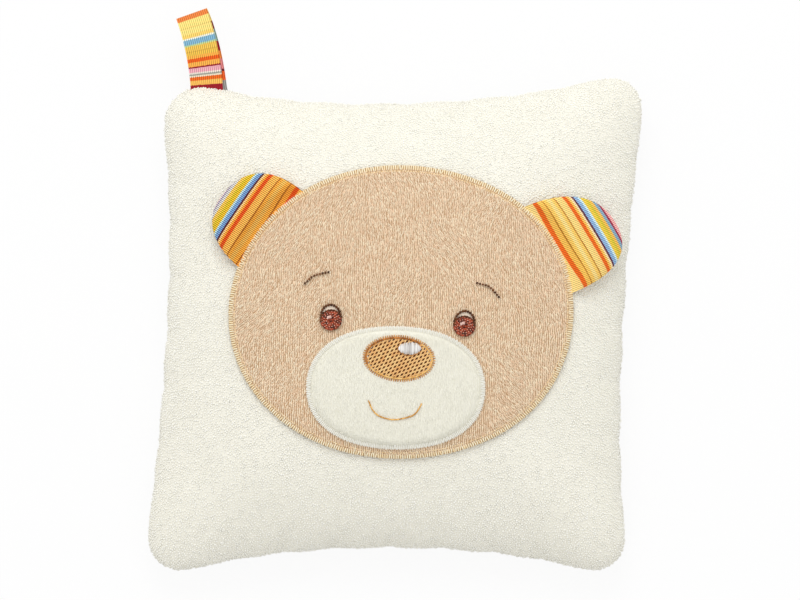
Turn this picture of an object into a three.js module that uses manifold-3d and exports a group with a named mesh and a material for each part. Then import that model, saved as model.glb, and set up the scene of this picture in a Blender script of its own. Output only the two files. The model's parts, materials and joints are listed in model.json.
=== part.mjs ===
// Cherry stone pillow: a square plush cover with a bear's face sewn on its front, two padded
// ears, a ribbon loop in its edge seam and a hook-and-loop flap on its back, round an inner
// cotton bag of cherry stones. Millimetres and degrees, +Z up. The pillow lies on its back:
// the origin is on the surface that it rests on, below the middle of the cover, and +Y runs
// towards the edge that holds the loop.

import * as THREE from "three";
import { mergeVertices } from "three/addons/utils/BufferGeometryUtils.js";
import Module from "manifold-3d";

// Gap left between pieces that are sewn together or lie against each other
const CLEARANCE = 0.3;

// Cover outline, seen from the front
const COVER_WIDTH = 200;
const COVER_LENGTH = 200;
// Corners anticlockwise from the lower right: which way they lie, how far each falls short
// of the full square, and its radius
const CORNERS = [
  { way: [1, -1], shortfall: [7, 0], radius: 12 },
  { way: [1, 1], shortfall: [0, 0.5], radius: 12 },
  { way: [-1, 1], shortfall: [6.5, 4], radius: 15 },
  { way: [-1, -1], shortfall: [0, 0], radius: 13 },
];
// How far the right, top, left and bottom sides are drawn in between their corners
const DRAW_IN = [4.5, 8.5, 4.5, 9.2];
const SIDE_HANDLE = 0.25;

// Cover depth and cloths
const SEAM_HEIGHT = 15;
const FRONT_CROWN = 28;
const CROWN_SQUARENESS = 2.4;
const CROWN_ROUNDNESS = 0.6;
const BACK_CURL = 24;
const COVER_CLOTH = 2.2;
const SEAM_THREAD = 1.4;

// Closure in the back
const CLOSURE_Y = -6;
const FLAP_WIDTH = 116;
const FLAP_LENGTH = 34;
const FLAP_CORNER = 8;
const UNDERLAP = 15;
const TAPE_WIDTH = 16;
const TAPE_SIDE_MARGIN = 8;
const TAPE_EDGE_MARGIN = 5;
const HOOK_TAPE = 0.9;
const LOOP_TAPE = 0.9;

// Inner bag and its stones
const BAG_INSET = 9;
const BAG_CURL = 20;
const BAG_CLOTH = 0.6;
const BAG_THREAD = 1.2;
const STONE_PITCH = 11;
const STONE_RELIEF = 2.5;
const STONE_SLACK = 1.6;
const STONE_LEAST_DEPTH = 6;

// Bear's face, each patch measured over its border stitching
const FACE = { centre: [3, 4.8], size: [139, 116], turn: 2.3, border: 2.4 };
const FACE_CLOTH = 1.8;
const FACE_BORDER_HEIGHT = 2.2;
const MUZZLE = { centre: [0.3, -24.4], size: [72.4, 48], turn: -1, border: 2.2 };
const MUZZLE_CLOTH = 1.6;
const MUZZLE_BORDER_HEIGHT = 1.9;
const NOSE = { centre: [1.6, -13.9], size: [29, 18.2], turn: -4, border: 1.4 };
const NOSE_THREAD = 1;
const NOSE_BORDER_HEIGHT = 1.2;
const NOSE_GLINT = { centre: [5.9, -9.9], size: [9.2, 5.3], turn: -4 };
const GLINT_THREAD = 0.6;
const LEFT_EYE = { centre: [-25.7, 2.7], size: [8.8, 10.6], turn: 8, border: 1 };
const RIGHT_EYE = { centre: [27.8, 0.2], size: [8.8, 10.6], turn: -8, border: 1 };
const EYE_THREAD = 0.9;
const EYE_BORDER_HEIGHT = 1.1;
const EYE_GLINT_SIZE = [4, 2];
const EYE_GLINT_RISE = 2.6;
// Section of a border: shares of its width and height, anticlockwise from its inner foot
const BORDER_PROFILE = [[0, 0], [1, 0], [0.85, 0.75], [0.5, 1], [0.15, 0.75]];
const LINE_THREAD = 1;
const LEFT_BROW = [[-36.5, 15.8], [-32.7, 19.2], [-26.2, 21]];
const RIGHT_BROW = [[32.9, 16.3], [37.8, 14.8], [41.7, 10.7]];
const MOUTH = [[-10.3, -31.5], [-7.5, -36.1], [0.8, -38.7], [8.2, -35.6], [10.6, -32.3]];

// Ears: place round the face, and depth out from their hinge line, which is tucked inside the border
const LEFT_EAR = { place: 147.5, depth: 27 };
const RIGHT_EAR = { place: 23.5, depth: 31 };
const EAR_WIDTH = 40;
const EAR_TUCK = 4;
const EAR_CLOTH = 0.8;
const EAR_RISE = 4.2;
const EAR_SQUARENESS = 2.4;

// Ribbon loop in the top seam, near the left side, leaning left
const LOOP_FROM_SIDE = 24.7;
const LOOP_LEAN = 12;
const LOOP_WIDTH = 13;
const LOOP_LENGTH = 31;
const LOOP_BULGE = 7.6;
const LOOP_SEWN = 5;
const RIBBON = 0.8;
// Shares of the loop's length and bulge that shape its drop
const LOOP_NECK = 0.32;
const LOOP_WIDEST = 0.68;
const LOOP_TURN = 0.9;
const LOOP_SHOULDER = 0.7;

// Roughness of the finishes
const MATT = 0.95;
const SEMI_MATT = 0.7;
const SATIN = 0.6;

// Steps that the meshes and searches take
const ARC_STEPS = 5;
const SIDE_STEPS = 8;
const FINE_STEPS = 40;
const FRONT_RINGS = 8;
const BACK_RINGS = 4;
const BAG_RINGS = 5;
const FACE_STEPS = 48;
const SMALL_STEPS = 20;
const EAR_STEPS = 20;
const EAR_RINGS = 3;
const EAR_SAMPLES = 4;
const FACE_RINGS = 5;
const MUZZLE_RINGS = 3;
const SMALL_RINGS = 2;
const LINE_STEPS = 4;
const ROOT_PASSES = 8;
const SEARCH_PASSES = 20;

const QUARTER = Math.PI / 2;
const FULL_TURN = 4 * QUARTER;
// How far a curve's middle follows its handles
const BEZIER_SAG = 0.75;
const MERGE_DISTANCE = 1e-3;
const radians = THREE.MathUtils.degToRad;
const wasm = await Module();
wasm.setup();

// Heights that the pieces share, from the resting surface up
const roundRadius = (COVER_WIDTH + COVER_LENGTH) / 4;
const hookFloor = COVER_CLOTH + CLEARANCE;
const loopFloor = hookFloor + HOOK_TAPE + CLEARANCE;
const underlapFloor = loopFloor + LOOP_TAPE + CLEARANCE;
const bagFloor = underlapFloor + COVER_CLOTH + CLEARANCE;
const bagCrown = FRONT_CROWN - COVER_CLOTH - CLEARANCE;

// Heights above the front of the cover that the sewn-on pieces start at
const faceLift = CLEARANCE;
const onFaceLift = faceLift + FACE_CLOTH + CLEARANCE;
const onMuzzleLift = onFaceLift + MUZZLE_CLOTH + CLEARANCE;
const glintLift = onMuzzleLift + NOSE_THREAD + CLEARANCE;
const eyeGlintLift = onFaceLift + EYE_THREAD + CLEARANCE;

// Geometry from points and triangles
function indexedGeometry(points, triangles) {
  const geometry = new THREE.BufferGeometry();
  geometry.setAttribute("position", new THREE.Float32BufferAttribute(points.flatMap((p) => p.toArray()), 3));
  geometry.setIndex(triangles.flat());
  return geometry;
}

// A solid that can be joined and cut, from a closed geometry
function toSolid(source) {
  const geometry = source.clone();
  geometry.deleteAttribute("normal");
  geometry.deleteAttribute("uv");
  const merged = mergeVertices(geometry, MERGE_DISTANCE);
  return new wasm.Manifold(new wasm.Mesh({
    numProp: 3,
    vertProperties: new Float32Array(merged.attributes.position.array),
    triVerts: new Uint32Array(merged.index.array),
  }));
}

function toGeometry(solid) {
  const mesh = solid.getMesh();
  const geometry = new THREE.BufferGeometry();
  geometry.setAttribute("position", new THREE.Float32BufferAttribute(mesh.vertProperties, 3));
  geometry.setIndex(Array.from(mesh.triVerts));
  return geometry;
}

// A box between two corners
function boxBetween(low, high) {
  const size = high.map((value, axis) => value - low[axis]);
  const middle = high.map((value, axis) => (value + low[axis]) / 2);
  return new THREE.BoxGeometry(...size).translate(...middle);
}

// An upright prism over a closed outline in plan
function prism(outline, low, high) {
  const shape = new THREE.Shape(outline);
  return new THREE.ExtrudeGeometry(shape, { depth: high - low, bevelEnabled: false }).translate(0, 0, low);
}

// A closed solid between an upper and a lower surface. Each gives a point for a share of the
// way out from the middle and the number of a spoke, and the spokes run anticlockwise.
function shell(shares, spokes, upper, lower) {
  const points = [];
  const triangles = [];
  const addLayer = (surface, flip) => {
    const start = points.length;
    const place = (ring, spoke) => start + 1 + ring * spokes + (spoke % spokes);
    const addTriangle = (a, b, c) => triangles.push(flip ? [a, c, b] : [a, b, c]);
    points.push(surface(0, 0));
    shares.forEach((share, ring) => {
      for (let spoke = 0; spoke < spokes; spoke++) {
        points.push(surface(share, spoke));
        if (ring === 0) {
          addTriangle(start, place(0, spoke), place(0, spoke + 1));
        } else {
          addTriangle(place(ring - 1, spoke), place(ring, spoke), place(ring, spoke + 1));
          addTriangle(place(ring - 1, spoke), place(ring, spoke + 1), place(ring - 1, spoke + 1));
        }
      }
    });
    return (spoke) => place(shares.length - 1, spoke);
  };
  const upperRim = addLayer(upper, false);
  const lowerRim = addLayer(lower, true);
  for (let spoke = 0; spoke < spokes; spoke++) {
    triangles.push([lowerRim(spoke), lowerRim(spoke + 1), upperRim(spoke + 1)]);
    triangles.push([lowerRim(spoke), upperRim(spoke + 1), upperRim(spoke)]);
  }
  return indexedGeometry(points, triangles);
}

// A closed band through sections that follow each other anticlockwise, each section running
// anticlockwise as seen along the way
function closedBand(sections) {
  const sides = sections[0].length;
  const triangles = [];
  const place = (section, side) => (section % sections.length) * sides + (side % sides);
  sections.forEach((_, section) => {
    for (let side = 0; side < sides; side++) {
      const here = place(section, side);
      const beside = place(section, side + 1);
      const ahead = place(section + 1, side);
      const across = place(section + 1, side + 1);
      triangles.push([here, ahead, beside], [beside, ahead, across]);
    }
  });
  return indexedGeometry(sections.flat(), triangles);
}

// Shares of the way out that crowd towards the rim, where the cloth turns most
function ringShares(count) {
  return Array.from({ length: count }, (_, ring) => Math.sin((QUARTER * (ring + 1)) / count));
}

// The cover's outline as arcs at the corners and drawn-in curves between them
function outlineCurves() {
  const centres = CORNERS.map(({ way, shortfall, radius }) => new THREE.Vector2(
    way[0] * (COVER_WIDTH / 2 - shortfall[0] - radius),
    way[1] * (COVER_LENGTH / 2 - shortfall[1] - radius),
  ));
  const flares = DRAW_IN.map((depth, side) => {
    const handle = SIDE_HANDLE * centres[side].distanceTo(centres[(side + 1) % CORNERS.length]);
    return { handle, angle: Math.asin(depth / (BEZIER_SAG * handle)) };
  });
  const rimPoint = (corner, angle) => new THREE.Vector2(Math.cos(angle), Math.sin(angle))
    .multiplyScalar(CORNERS[corner].radius).add(centres[corner]);
  const along = (angle, length) => new THREE.Vector2(-Math.sin(angle), Math.cos(angle))
    .multiplyScalar(length);
  return CORNERS.flatMap(({ radius }, corner) => {
    const next = (corner + 1) % CORNERS.length;
    const before = flares[(corner + CORNERS.length - 1) % CORNERS.length];
    const after = flares[corner];
    const out = QUARTER * corner;
    const arcStart = out - QUARTER - before.angle;
    const arcEnd = out + after.angle;
    const { x, y } = centres[corner];
    const arc = new THREE.EllipseCurve(x, y, radius, radius, arcStart, arcEnd);
    const sideStart = rimPoint(corner, arcEnd);
    const sideEnd = rimPoint(next, out - after.angle);
    const side = new THREE.CubicBezierCurve(
      sideStart,
      sideStart.clone().add(along(arcEnd, after.handle)),
      sideEnd.clone().sub(along(out - after.angle, after.handle)),
      sideEnd,
    );
    return [arc, side];
  });
}

// Points round the outline, with a number of steps for each arc and each side
function outlinePoints(arcSteps, sideSteps) {
  return outlineCurves().flatMap((curve, index) => {
    const steps = index % 2 === 0 ? arcSteps : sideSteps;
    return curve.getPoints(steps).slice(0, steps);
  });
}

const rim = outlinePoints(ARC_STEPS, SIDE_STEPS);
const coarseRim = rim.filter((_, index) => index % 2 === 0);
const fineRim = outlinePoints(FINE_STEPS, FINE_STEPS)
  .map((point) => ({ angle: point.angle(), radius: point.length() }))
  .sort((a, b) => a.angle - b.angle);

// Distance from the middle to the cover's edge, in a direction
function outlineRadius(angle) {
  const turn = THREE.MathUtils.euclideanModulo(angle, FULL_TURN);
  const after = fineRim.findIndex((entry) => entry.angle > turn);
  const high = fineRim[Math.max(after, 0)];
  const low = fineRim[(after <= 0 ? fineRim.length : after) - 1];
  const span = THREE.MathUtils.euclideanModulo(high.angle - low.angle, FULL_TURN);
  const step = THREE.MathUtils.euclideanModulo(turn - low.angle, FULL_TURN);
  return THREE.MathUtils.lerp(low.radius, high.radius, step / span);
}

function outlinePoint(angle) {
  return new THREE.Vector2(Math.cos(angle), Math.sin(angle)).multiplyScalar(outlineRadius(angle));
}

// Contours of the pillow are round in the middle and take the outline's shape at the edge
function contourRadius(share, reach, inset) {
  const round = roundRadius - inset;
  return share * (round + (reach - inset - round) * share ** 2);
}

function contourPoint(share, edge, inset) {
  return edge.clone().setLength(contourRadius(share, edge.length(), inset));
}

// Share of the way from the middle to an edge that lies the inset inside the cover's own
function edgeShare(x, y, inset) {
  const reach = outlineRadius(Math.atan2(y, x));
  const round = roundRadius - inset;
  const distance = Math.hypot(x, y);
  let share = distance / round;
  for (let pass = 0; pass < ROOT_PASSES; pass++) {
    const slope = round + 3 * (reach - inset - round) * share ** 2;
    share -= (contourRadius(share, reach, inset) - distance) / slope;
  }
  return Math.min(share, 1);
}

function crown(share) {
  return (1 - Math.min(share, 1) ** CROWN_SQUARENESS) ** CROWN_ROUNDNESS;
}

// How deep the back lies below the seam: flat in the middle, turned up over the curl
function sink(share, curlShare) {
  const turned = Math.max(0, (share - 1) / curlShare + 1);
  return crown(turned);
}

function frontHeight(x, y) {
  return SEAM_HEIGHT + CLEARANCE / 2 + FRONT_CROWN * crown(edgeShare(x, y, 0));
}

function onFront(point, lift) {
  return new THREE.Vector3(point.x, point.y, frontHeight(point.x, point.y) + lift);
}

// A dome of cloth that stands on the seam
function domeShell(edges, shares, inset, rise, cloth) {
  const surface = (extra) => (share, spoke) => {
    const { x, y } = contourPoint(share, edges[spoke], inset + extra);
    return new THREE.Vector3(x, y, SEAM_HEIGHT + CLEARANCE / 2 + (rise - extra) * crown(share));
  };
  return shell(shares, edges.length, surface(0), surface(cloth));
}

// A bowl of cloth that hangs below the seam to a flat floor
function bowlShell(edges, rings, inset, curl, floor, cloth) {
  const curlShare = curl / (roundRadius - inset);
  const shares = [1 - curlShare, ...ringShares(rings).map((share) => 1 - curlShare * (1 - share))];
  const top = SEAM_HEIGHT - CLEARANCE / 2;
  const surface = (extra) => (share, spoke) => {
    const { x, y } = contourPoint(share, edges[spoke], inset + extra);
    return new THREE.Vector3(x, y, top - (top - floor - extra) * sink(share, curlShare));
  };
  return shell(shares, edges.length, surface(cloth), surface(0));
}

// A round thread that follows the edge, an inset inside the cover's own
function edgeThread(edges, inset, diameter) {
  const corners = [[-1, 0], [0, -1], [1, 0], [0, 1]];
  return closedBand(edges.map((edge) => corners.map(([across, up]) => {
    const { x, y } = edge.clone().setLength(edge.length() - inset + (across * diameter) / 2);
    return new THREE.Vector3(x, y, SEAM_HEIGHT + (up * diameter) / 2);
  })));
}

// Closure: flap, tapes and the two halves of the back

function flapOutline(width, length, corner) {
  const shape = new THREE.Shape();
  const half = width / 2;
  const top = CLOSURE_Y - CLEARANCE / 2;
  const bottom = CLOSURE_Y - length;
  shape.moveTo(half, top);
  shape.lineTo(-half, top);
  shape.lineTo(-half, bottom + corner);
  shape.absarc(-half + corner, bottom + corner, corner, 2 * QUARTER, 3 * QUARTER);
  shape.absarc(half - corner, bottom + corner, corner, 3 * QUARTER, FULL_TURN);
  return shape.extractPoints(ARC_STEPS).shape;
}

function closureFlap() {
  return prism(flapOutline(FLAP_WIDTH, FLAP_LENGTH, FLAP_CORNER), 0, COVER_CLOTH);
}

function tape(floor, thickness) {
  const half = FLAP_WIDTH / 2 - TAPE_SIDE_MARGIN;
  const bottom = CLOSURE_Y - FLAP_LENGTH + TAPE_EDGE_MARGIN;
  return boxBetween([-half, bottom, floor], [half, bottom + TAPE_WIDTH, floor + thickness]);
}

function backPanels() {
  const bowl = toSolid(bowlShell(rim, BACK_RINGS, 0, BACK_CURL, 0, COVER_CLOTH));
  const below = -COVER_CLOTH;
  const above = SEAM_HEIGHT + COVER_CLOTH;
  const split = CLEARANCE / 2;
  const lowerHalf = boxBetween([-COVER_WIDTH, -COVER_LENGTH, below], [COVER_WIDTH, CLOSURE_Y + split, above]);
  const upperHalf = boxBetween([-COVER_WIDTH, CLOSURE_Y - split, below], [COVER_WIDTH, COVER_LENGTH, above]);
  const pocket = FLAP_WIDTH / 2 + CLEARANCE;
  const wall = pocket + COVER_CLOTH;
  const pocketEnd = CLOSURE_Y - FLAP_LENGTH - CLEARANCE;
  const underlapTop = underlapFloor + COVER_CLOTH;
  const tray = boxBetween([-wall, pocketEnd - COVER_CLOTH, 0], [wall, CLOSURE_Y - split, underlapTop]);
  const pocketSpace = boxBetween([-pocket, pocketEnd, below], [pocket, CLOSURE_Y + split, underlapFloor]);
  const underlap = boxBetween(
    [-wall, CLOSURE_Y - COVER_CLOTH, underlapFloor],
    [wall, CLOSURE_Y + UNDERLAP, underlapTop],
  );
  return {
    upper: toGeometry(bowl.subtract(toSolid(lowerHalf))),
    lower: toGeometry(bowl.subtract(toSolid(upperHalf)).add(toSolid(tray))
      .subtract(toSolid(pocketSpace)).add(toSolid(underlap))),
  };
}

// Stones of the filling, packed in a bed: six-sided cells with a rounded stone's top on each

function stoneBed() {
  const inset = BAG_INSET + BAG_CLOTH + CLEARANCE;
  const curlShare = BAG_CURL / (roundRadius - inset);
  const floor = bagFloor + BAG_CLOTH + CLEARANCE;
  const top = (x, y) => SEAM_HEIGHT + (bagCrown - BAG_CLOTH - STONE_SLACK) * crown(edgeShare(x, y, inset));
  const bottom = (x, y) => SEAM_HEIGHT + STONE_SLACK - CLEARANCE
    - (SEAM_HEIGHT - floor - CLEARANCE) * sink(edgeShare(x, y, inset), curlShare);
  const points = [];
  const triangles = [];
  const known = new Map();
  const pointAt = (x, y, z) => {
    const key = placeName([x, y, z]);
    if (!known.has(key)) {
      known.set(key, points.length);
      points.push(new THREE.Vector3(x, y, z));
    }
    return known.get(key);
  };
  const cells = stoneCells((x, y) => top(x, y) - bottom(x, y) > STONE_LEAST_DEPTH);
  const edgeCount = new Map();
  const edgeName = (a, b) => [placeName(a), placeName(b)].sort().join("|");
  cells.forEach(({ corners }) => corners.forEach((corner, side) => {
    const name = edgeName(corner, corners[(side + 1) % corners.length]);
    edgeCount.set(name, (edgeCount.get(name) ?? 0) + 1);
  }));
  cells.forEach(({ centre, corners }) => {
    const peak = pointAt(...centre, top(...centre));
    const upper = corners.map((corner) => pointAt(...corner, top(...corner) - STONE_RELIEF));
    const lower = corners.map((corner) => pointAt(...corner, bottom(...corner)));
    corners.forEach((corner, side) => {
      const next = (side + 1) % corners.length;
      triangles.push([peak, upper[side], upper[next]]);
      if (side > 0 && next > 0) {
        triangles.push([lower[0], lower[next], lower[side]]);
      }
      if (edgeCount.get(edgeName(corner, corners[next])) === 1) {
        triangles.push([lower[side], lower[next], upper[next]], [lower[side], upper[next], upper[side]]);
      }
    });
  });
  return indexedGeometry(points, triangles);
}

// A name for a point, the same for points that coincide
function placeName(coordinates) {
  return coordinates.map((value) => Math.round(value / MERGE_DISTANCE)).join();
}

// Cells of the bed whose corners all lie where the bag is deep enough
function stoneCells(isDeep) {
  const sides = 6;
  const sideAngle = FULL_TURN / sides;
  const rowStep = STONE_PITCH * Math.sin(sideAngle);
  const cornerRadius = STONE_PITCH / 2 / Math.cos(sideAngle / 2);
  const rows = Math.ceil(COVER_LENGTH / 2 / rowStep);
  const columns = Math.ceil(COVER_WIDTH / 2 / STONE_PITCH);
  const cells = [];
  for (let row = -rows; row <= rows; row++) {
    for (let column = -columns; column <= columns; column++) {
      const centre = [(column + (row % 2 === 0 ? 0 : 0.5)) * STONE_PITCH, row * rowStep];
      const corners = Array.from({ length: sides }, (_, side) => {
        const angle = sideAngle * (side + 0.5);
        return [centre[0] + cornerRadius * Math.cos(angle), centre[1] + cornerRadius * Math.sin(angle)];
      });
      if (corners.every((corner) => isDeep(...corner))) {
        cells.push({ centre, corners });
      }
    }
  }
  return cells;
}

// Sewn-on pieces of the face

// Points of a patch's outline, grown or drawn in by a distance
function patchOutline(patch, steps, grow) {
  const [across, up] = patch.size.map((size) => size / 2 + grow);
  const turn = radians(patch.turn);
  const middle = new THREE.Vector2(...patch.centre);
  return Array.from({ length: steps }, (_, step) => {
    const angle = (FULL_TURN * step) / steps;
    const point = new THREE.Vector2(across * Math.cos(angle), up * Math.sin(angle)).add(middle);
    return point.rotateAround(middle, turn);
  });
}

// A layer of cloth or close stitches over the inside of a patch's border
function patchLayer(patch, steps, rings, lift, thickness) {
  const inside = patch.border ? patch.border + CLEARANCE : 0;
  const outline = patchOutline(patch, steps, -inside);
  const middle = new THREE.Vector2(...patch.centre);
  const shares = Array.from({ length: rings }, (_, ring) => (ring + 1) / rings);
  const surface = (height) => (share, spoke) => {
    const point = middle.clone().lerp(outline[spoke], share);
    return onFront(point, lift + height);
  };
  return shell(shares, steps, surface(thickness), surface(0));
}

// The raised border stitching round a patch
function patchBorder(patch, steps, lift, height) {
  const rails = BORDER_PROFILE.map(([across, up]) => patchOutline(patch, steps, (across - 1) * patch.border)
    .map((point) => onFront(point, lift + up * height)));
  return closedBand(rails[0].map((_, step) => rails.map((rail) => rail[step])));
}

// One line of thread laid along points on the face
function threadLine(points, lift) {
  const path = new THREE.CatmullRomCurve3(points.map(([x, y]) => onFront({ x, y }, lift + LINE_THREAD / 2)));
  const section = new THREE.Shape().absarc(0, 0, LINE_THREAD / 2, 0, FULL_TURN);
  return new THREE.ExtrudeGeometry(section, {
    steps: LINE_STEPS * (points.length - 1),
    curveSegments: LINE_STEPS,
    extrudePath: path,
    bevelEnabled: false,
  });
}

function eyeGlint(eye) {
  const [x, y] = eye.centre;
  return { centre: [x, y + EYE_GLINT_RISE], size: EYE_GLINT_SIZE, turn: eye.turn };
}

// Ears, each built flat with its base along X and its tip towards +Y, on a hinge line at its origin

function earOutline(depth, inset) {
  const power = 2 / EAR_SQUARENESS;
  const half = EAR_WIDTH / 2 - inset;
  const arc = Array.from({ length: EAR_STEPS + 1 }, (_, step) => {
    const angle = (2 * QUARTER * step) / EAR_STEPS;
    const across = Math.sign(Math.cos(angle)) * Math.abs(Math.cos(angle)) ** power;
    return new THREE.Vector2(half * across, inset + (depth - 2 * inset) * Math.abs(Math.sin(angle)) ** power);
  });
  const base = [-half / 2, 0, half / 2].map((across) => new THREE.Vector2(across, inset));
  return [...arc, ...base];
}

// A dome over the ear's outline, hollow below where a cloth thickness is given
function earDome(depth, inset, rise, cloth) {
  const middle = new THREE.Vector2(0, depth / 2);
  const shares = ringShares(EAR_RINGS);
  const surface = (extra, height) => {
    const outline = earOutline(depth, inset + extra);
    return (share, spoke) => {
      const { x, y } = middle.clone().lerp(outline[spoke], share);
      return new THREE.Vector3(x, y, height * crown(share));
    };
  };
  const spokes = earOutline(depth, inset).length;
  return shell(shares, spokes, surface(0, rise), surface(cloth, cloth > 0 ? rise - cloth : 0));
}

function earPlate(depth) {
  return prism(earOutline(depth, 0), -CLEARANCE - EAR_CLOTH, -CLEARANCE);
}

// The steepest slope at which the underside of an ear still clears the cover
function earSlope(base, along, out, hinge, climb, depth) {
  const underside = 2 * CLEARANCE + EAR_CLOTH;
  let slope = -Infinity;
  for (let row = 1; row <= EAR_SAMPLES; row++) {
    for (let column = -EAR_SAMPLES; column <= EAR_SAMPLES; column++) {
      const reach = (depth * row) / EAR_SAMPLES;
      const side = (EAR_WIDTH * column) / EAR_SAMPLES / 2;
      const { x, y } = base.clone().addScaledVector(along, side).addScaledVector(out, reach);
      slope = Math.max(slope, (frontHeight(x, y) + underside - hinge.z - climb * side) / reach);
    }
  }
  return slope;
}

// Where an ear's hinge line lies, with X along it and Y out along the ear
function earFrame({ place, depth }) {
  const angle = radians(place - FACE.turn);
  const [halfWidth, halfHeight] = FACE.size.map((size) => size / 2);
  const radius = 1 / Math.hypot(Math.cos(angle) / halfWidth, Math.sin(angle) / halfHeight);
  const out = new THREE.Vector2(Math.cos(angle) / halfWidth ** 2, Math.sin(angle) / halfHeight ** 2)
    .normalize().rotateAround(new THREE.Vector2(), radians(FACE.turn));
  const along = new THREE.Vector2(out.y, -out.x);
  const edge = new THREE.Vector2(Math.cos(radians(place)), Math.sin(radians(place)))
    .setLength(radius).add(new THREE.Vector2(...FACE.centre));
  const base = edge.clone().addScaledVector(out, -EAR_TUCK);
  const borderTop = faceLift + FACE_BORDER_HEIGHT + CLEARANCE;
  const [start, hinge, end] = [-EAR_WIDTH / 2, 0, EAR_WIDTH / 2]
    .map((side) => onFront(base.clone().addScaledVector(along, side), borderTop));
  const climb = (end.z - start.z) / EAR_WIDTH;
  const slope = earSlope(base, along, out, hinge, climb, depth);
  const axis = new THREE.Vector3(along.x, along.y, climb).normalize();
  const up = axis.clone().cross(new THREE.Vector3(out.x, out.y, slope)).normalize();
  return new THREE.Matrix4().makeBasis(axis, up.clone().cross(axis), up).setPosition(hinge);
}

function ear(name, settings, cloths) {
  const frame = earFrame(settings);
  const group = new THREE.Group();
  group.applyMatrix4(frame);
  const faceColumn = prism(patchOutline(FACE, FACE_STEPS, CLEARANCE), 0, 2 * group.position.z);
  const column = toSolid(faceColumn.applyMatrix4(frame.clone().invert()));
  const cut = (geometry) => toGeometry(toSolid(geometry).subtract(column));
  const { depth } = settings;
  const inside = EAR_CLOTH + CLEARANCE;
  group.add(
    mesh(`${name}_ear_front`, cut(earDome(depth, 0, EAR_RISE, EAR_CLOTH)), cloths.front),
    mesh(`${name}_ear_wadding`, cut(earDome(depth, inside, EAR_RISE - inside, 0)), cloths.wadding),
    mesh(`${name}_ear_back`, cut(earPlate(depth)), cloths.back),
  );
  return group;
}

// Ribbon loop: sewn to a knife edge at its origin, open between its two layers towards +Y

// A long drop from a start to a round fold at the far end, one half after the other
function dropCurves(path, start, end, startHalf, half) {
  const narrow = start + (end - start) * LOOP_NECK;
  const wide = start + (end - start) * LOOP_WIDEST;
  const turn = start + (end - start) * LOOP_TURN;
  const shoulder = half * LOOP_SHOULDER;
  path.bezierCurveTo(narrow, -startHalf, narrow, -half, wide, -half);
  path.bezierCurveTo(turn, -half, end, -shoulder, end, 0);
  path.bezierCurveTo(end, shoulder, turn, half, wide, half);
  path.bezierCurveTo(narrow, half, narrow, startHalf, start, startHalf);
}

function ribbonLoop() {
  const half = LOOP_BULGE / 2;
  const taper = 2 * RIBBON;
  const outer = new THREE.Shape();
  outer.moveTo(0, 0);
  outer.lineTo(taper, -RIBBON);
  dropCurves(outer, taper, LOOP_LENGTH, RIBBON, half);
  const eyelet = new THREE.Path();
  eyelet.moveTo(LOOP_SEWN, 0);
  dropCurves(eyelet, LOOP_SEWN, LOOP_LENGTH - RIBBON, 0, half - RIBBON);
  outer.holes.push(eyelet);
  const strip = new THREE.ExtrudeGeometry(outer, {
    depth: LOOP_WIDTH,
    curveSegments: ARC_STEPS,
    bevelEnabled: false,
  });
  const turn = new THREE.Matrix4().makeBasis(
    new THREE.Vector3(0, 1, 0),
    new THREE.Vector3(0, 0, 1),
    new THREE.Vector3(1, 0, 0),
  );
  return strip.translate(0, 0, -LOOP_WIDTH / 2).applyMatrix4(turn);
}

// Direction in which the top seam is met at a distance from the left side
function loopPlace() {
  const x = LOOP_FROM_SIDE - COVER_WIDTH / 2;
  let right = QUARTER;
  let left = 2 * QUARTER;
  for (let pass = 0; pass < SEARCH_PASSES; pass++) {
    const middle = (right + left) / 2;
    if (outlinePoint(middle).x > x) {
      right = middle;
    } else {
      left = middle;
    }
  }
  return left;
}

// The loop hangs from the chord of the seam behind it, and leans to one side
function hangingLoop(material) {
  const place = loopPlace();
  const halfSpan = LOOP_WIDTH / 2 / outlineRadius(place);
  const chord = outlinePoint(place - halfSpan).sub(outlinePoint(place + halfSpan));
  const out = new THREE.Vector2(-chord.y, chord.x).normalize();
  const seam = outlinePoint(place).addScaledVector(out, CLEARANCE);
  const lean = Math.tan(-radians(LOOP_LEAN) - Math.atan2(out.x, out.y));
  const sideways = new THREE.Matrix4().makeShear(0, 0, lean, 0, 0, 0);
  const group = new THREE.Group();
  group.position.set(seam.x, seam.y, SEAM_HEIGHT);
  group.rotation.z = chord.angle();
  group.add(mesh("hanging_loop", ribbonLoop().applyMatrix4(sideways), material));
  return group;
}

// Materials

function cloth(color, roughness) {
  return new THREE.MeshStandardMaterial({ color, roughness, metalness: 0 });
}

const creamPlush = cloth(0xf0eedf, MATT);
const beigePlush = cloth(0xe4c6a6, MATT);
const muzzlePlush = cloth(0xedeadb, MATT);
const stripedCotton = cloth(0xe8a15a, MATT);
const stripedRibbon = cloth(0xefb860, SEMI_MATT);
const whiteCotton = cloth(0xf4f1e6, MATT);
const wadding = cloth(0xfbfaf5, MATT);
const goldThread = cloth(0xdfc79a, SATIN);
const creamThread = cloth(0xefe6cf, SATIN);
const tanThread = cloth(0xc99f6d, SATIN);
const brownThread = cloth(0x64281e, SATIN);
const darkThread = cloth(0x3c1a10, SATIN);
const paleThread = cloth(0xdad7d0, SATIN);
const orangeThread = cloth(0xd98a4e, SATIN);
const hookNylon = cloth(0xf2f0e8, SATIN);
const loopNylon = cloth(0xf5f3ec, MATT);
const cherryStone = cloth(0xb98d5c, SEMI_MATT);

function mesh(name, geometry, material) {
  const piece = new THREE.Mesh(geometry, material.clone());
  piece.name = name;
  return piece;
}

// Assembly

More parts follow.
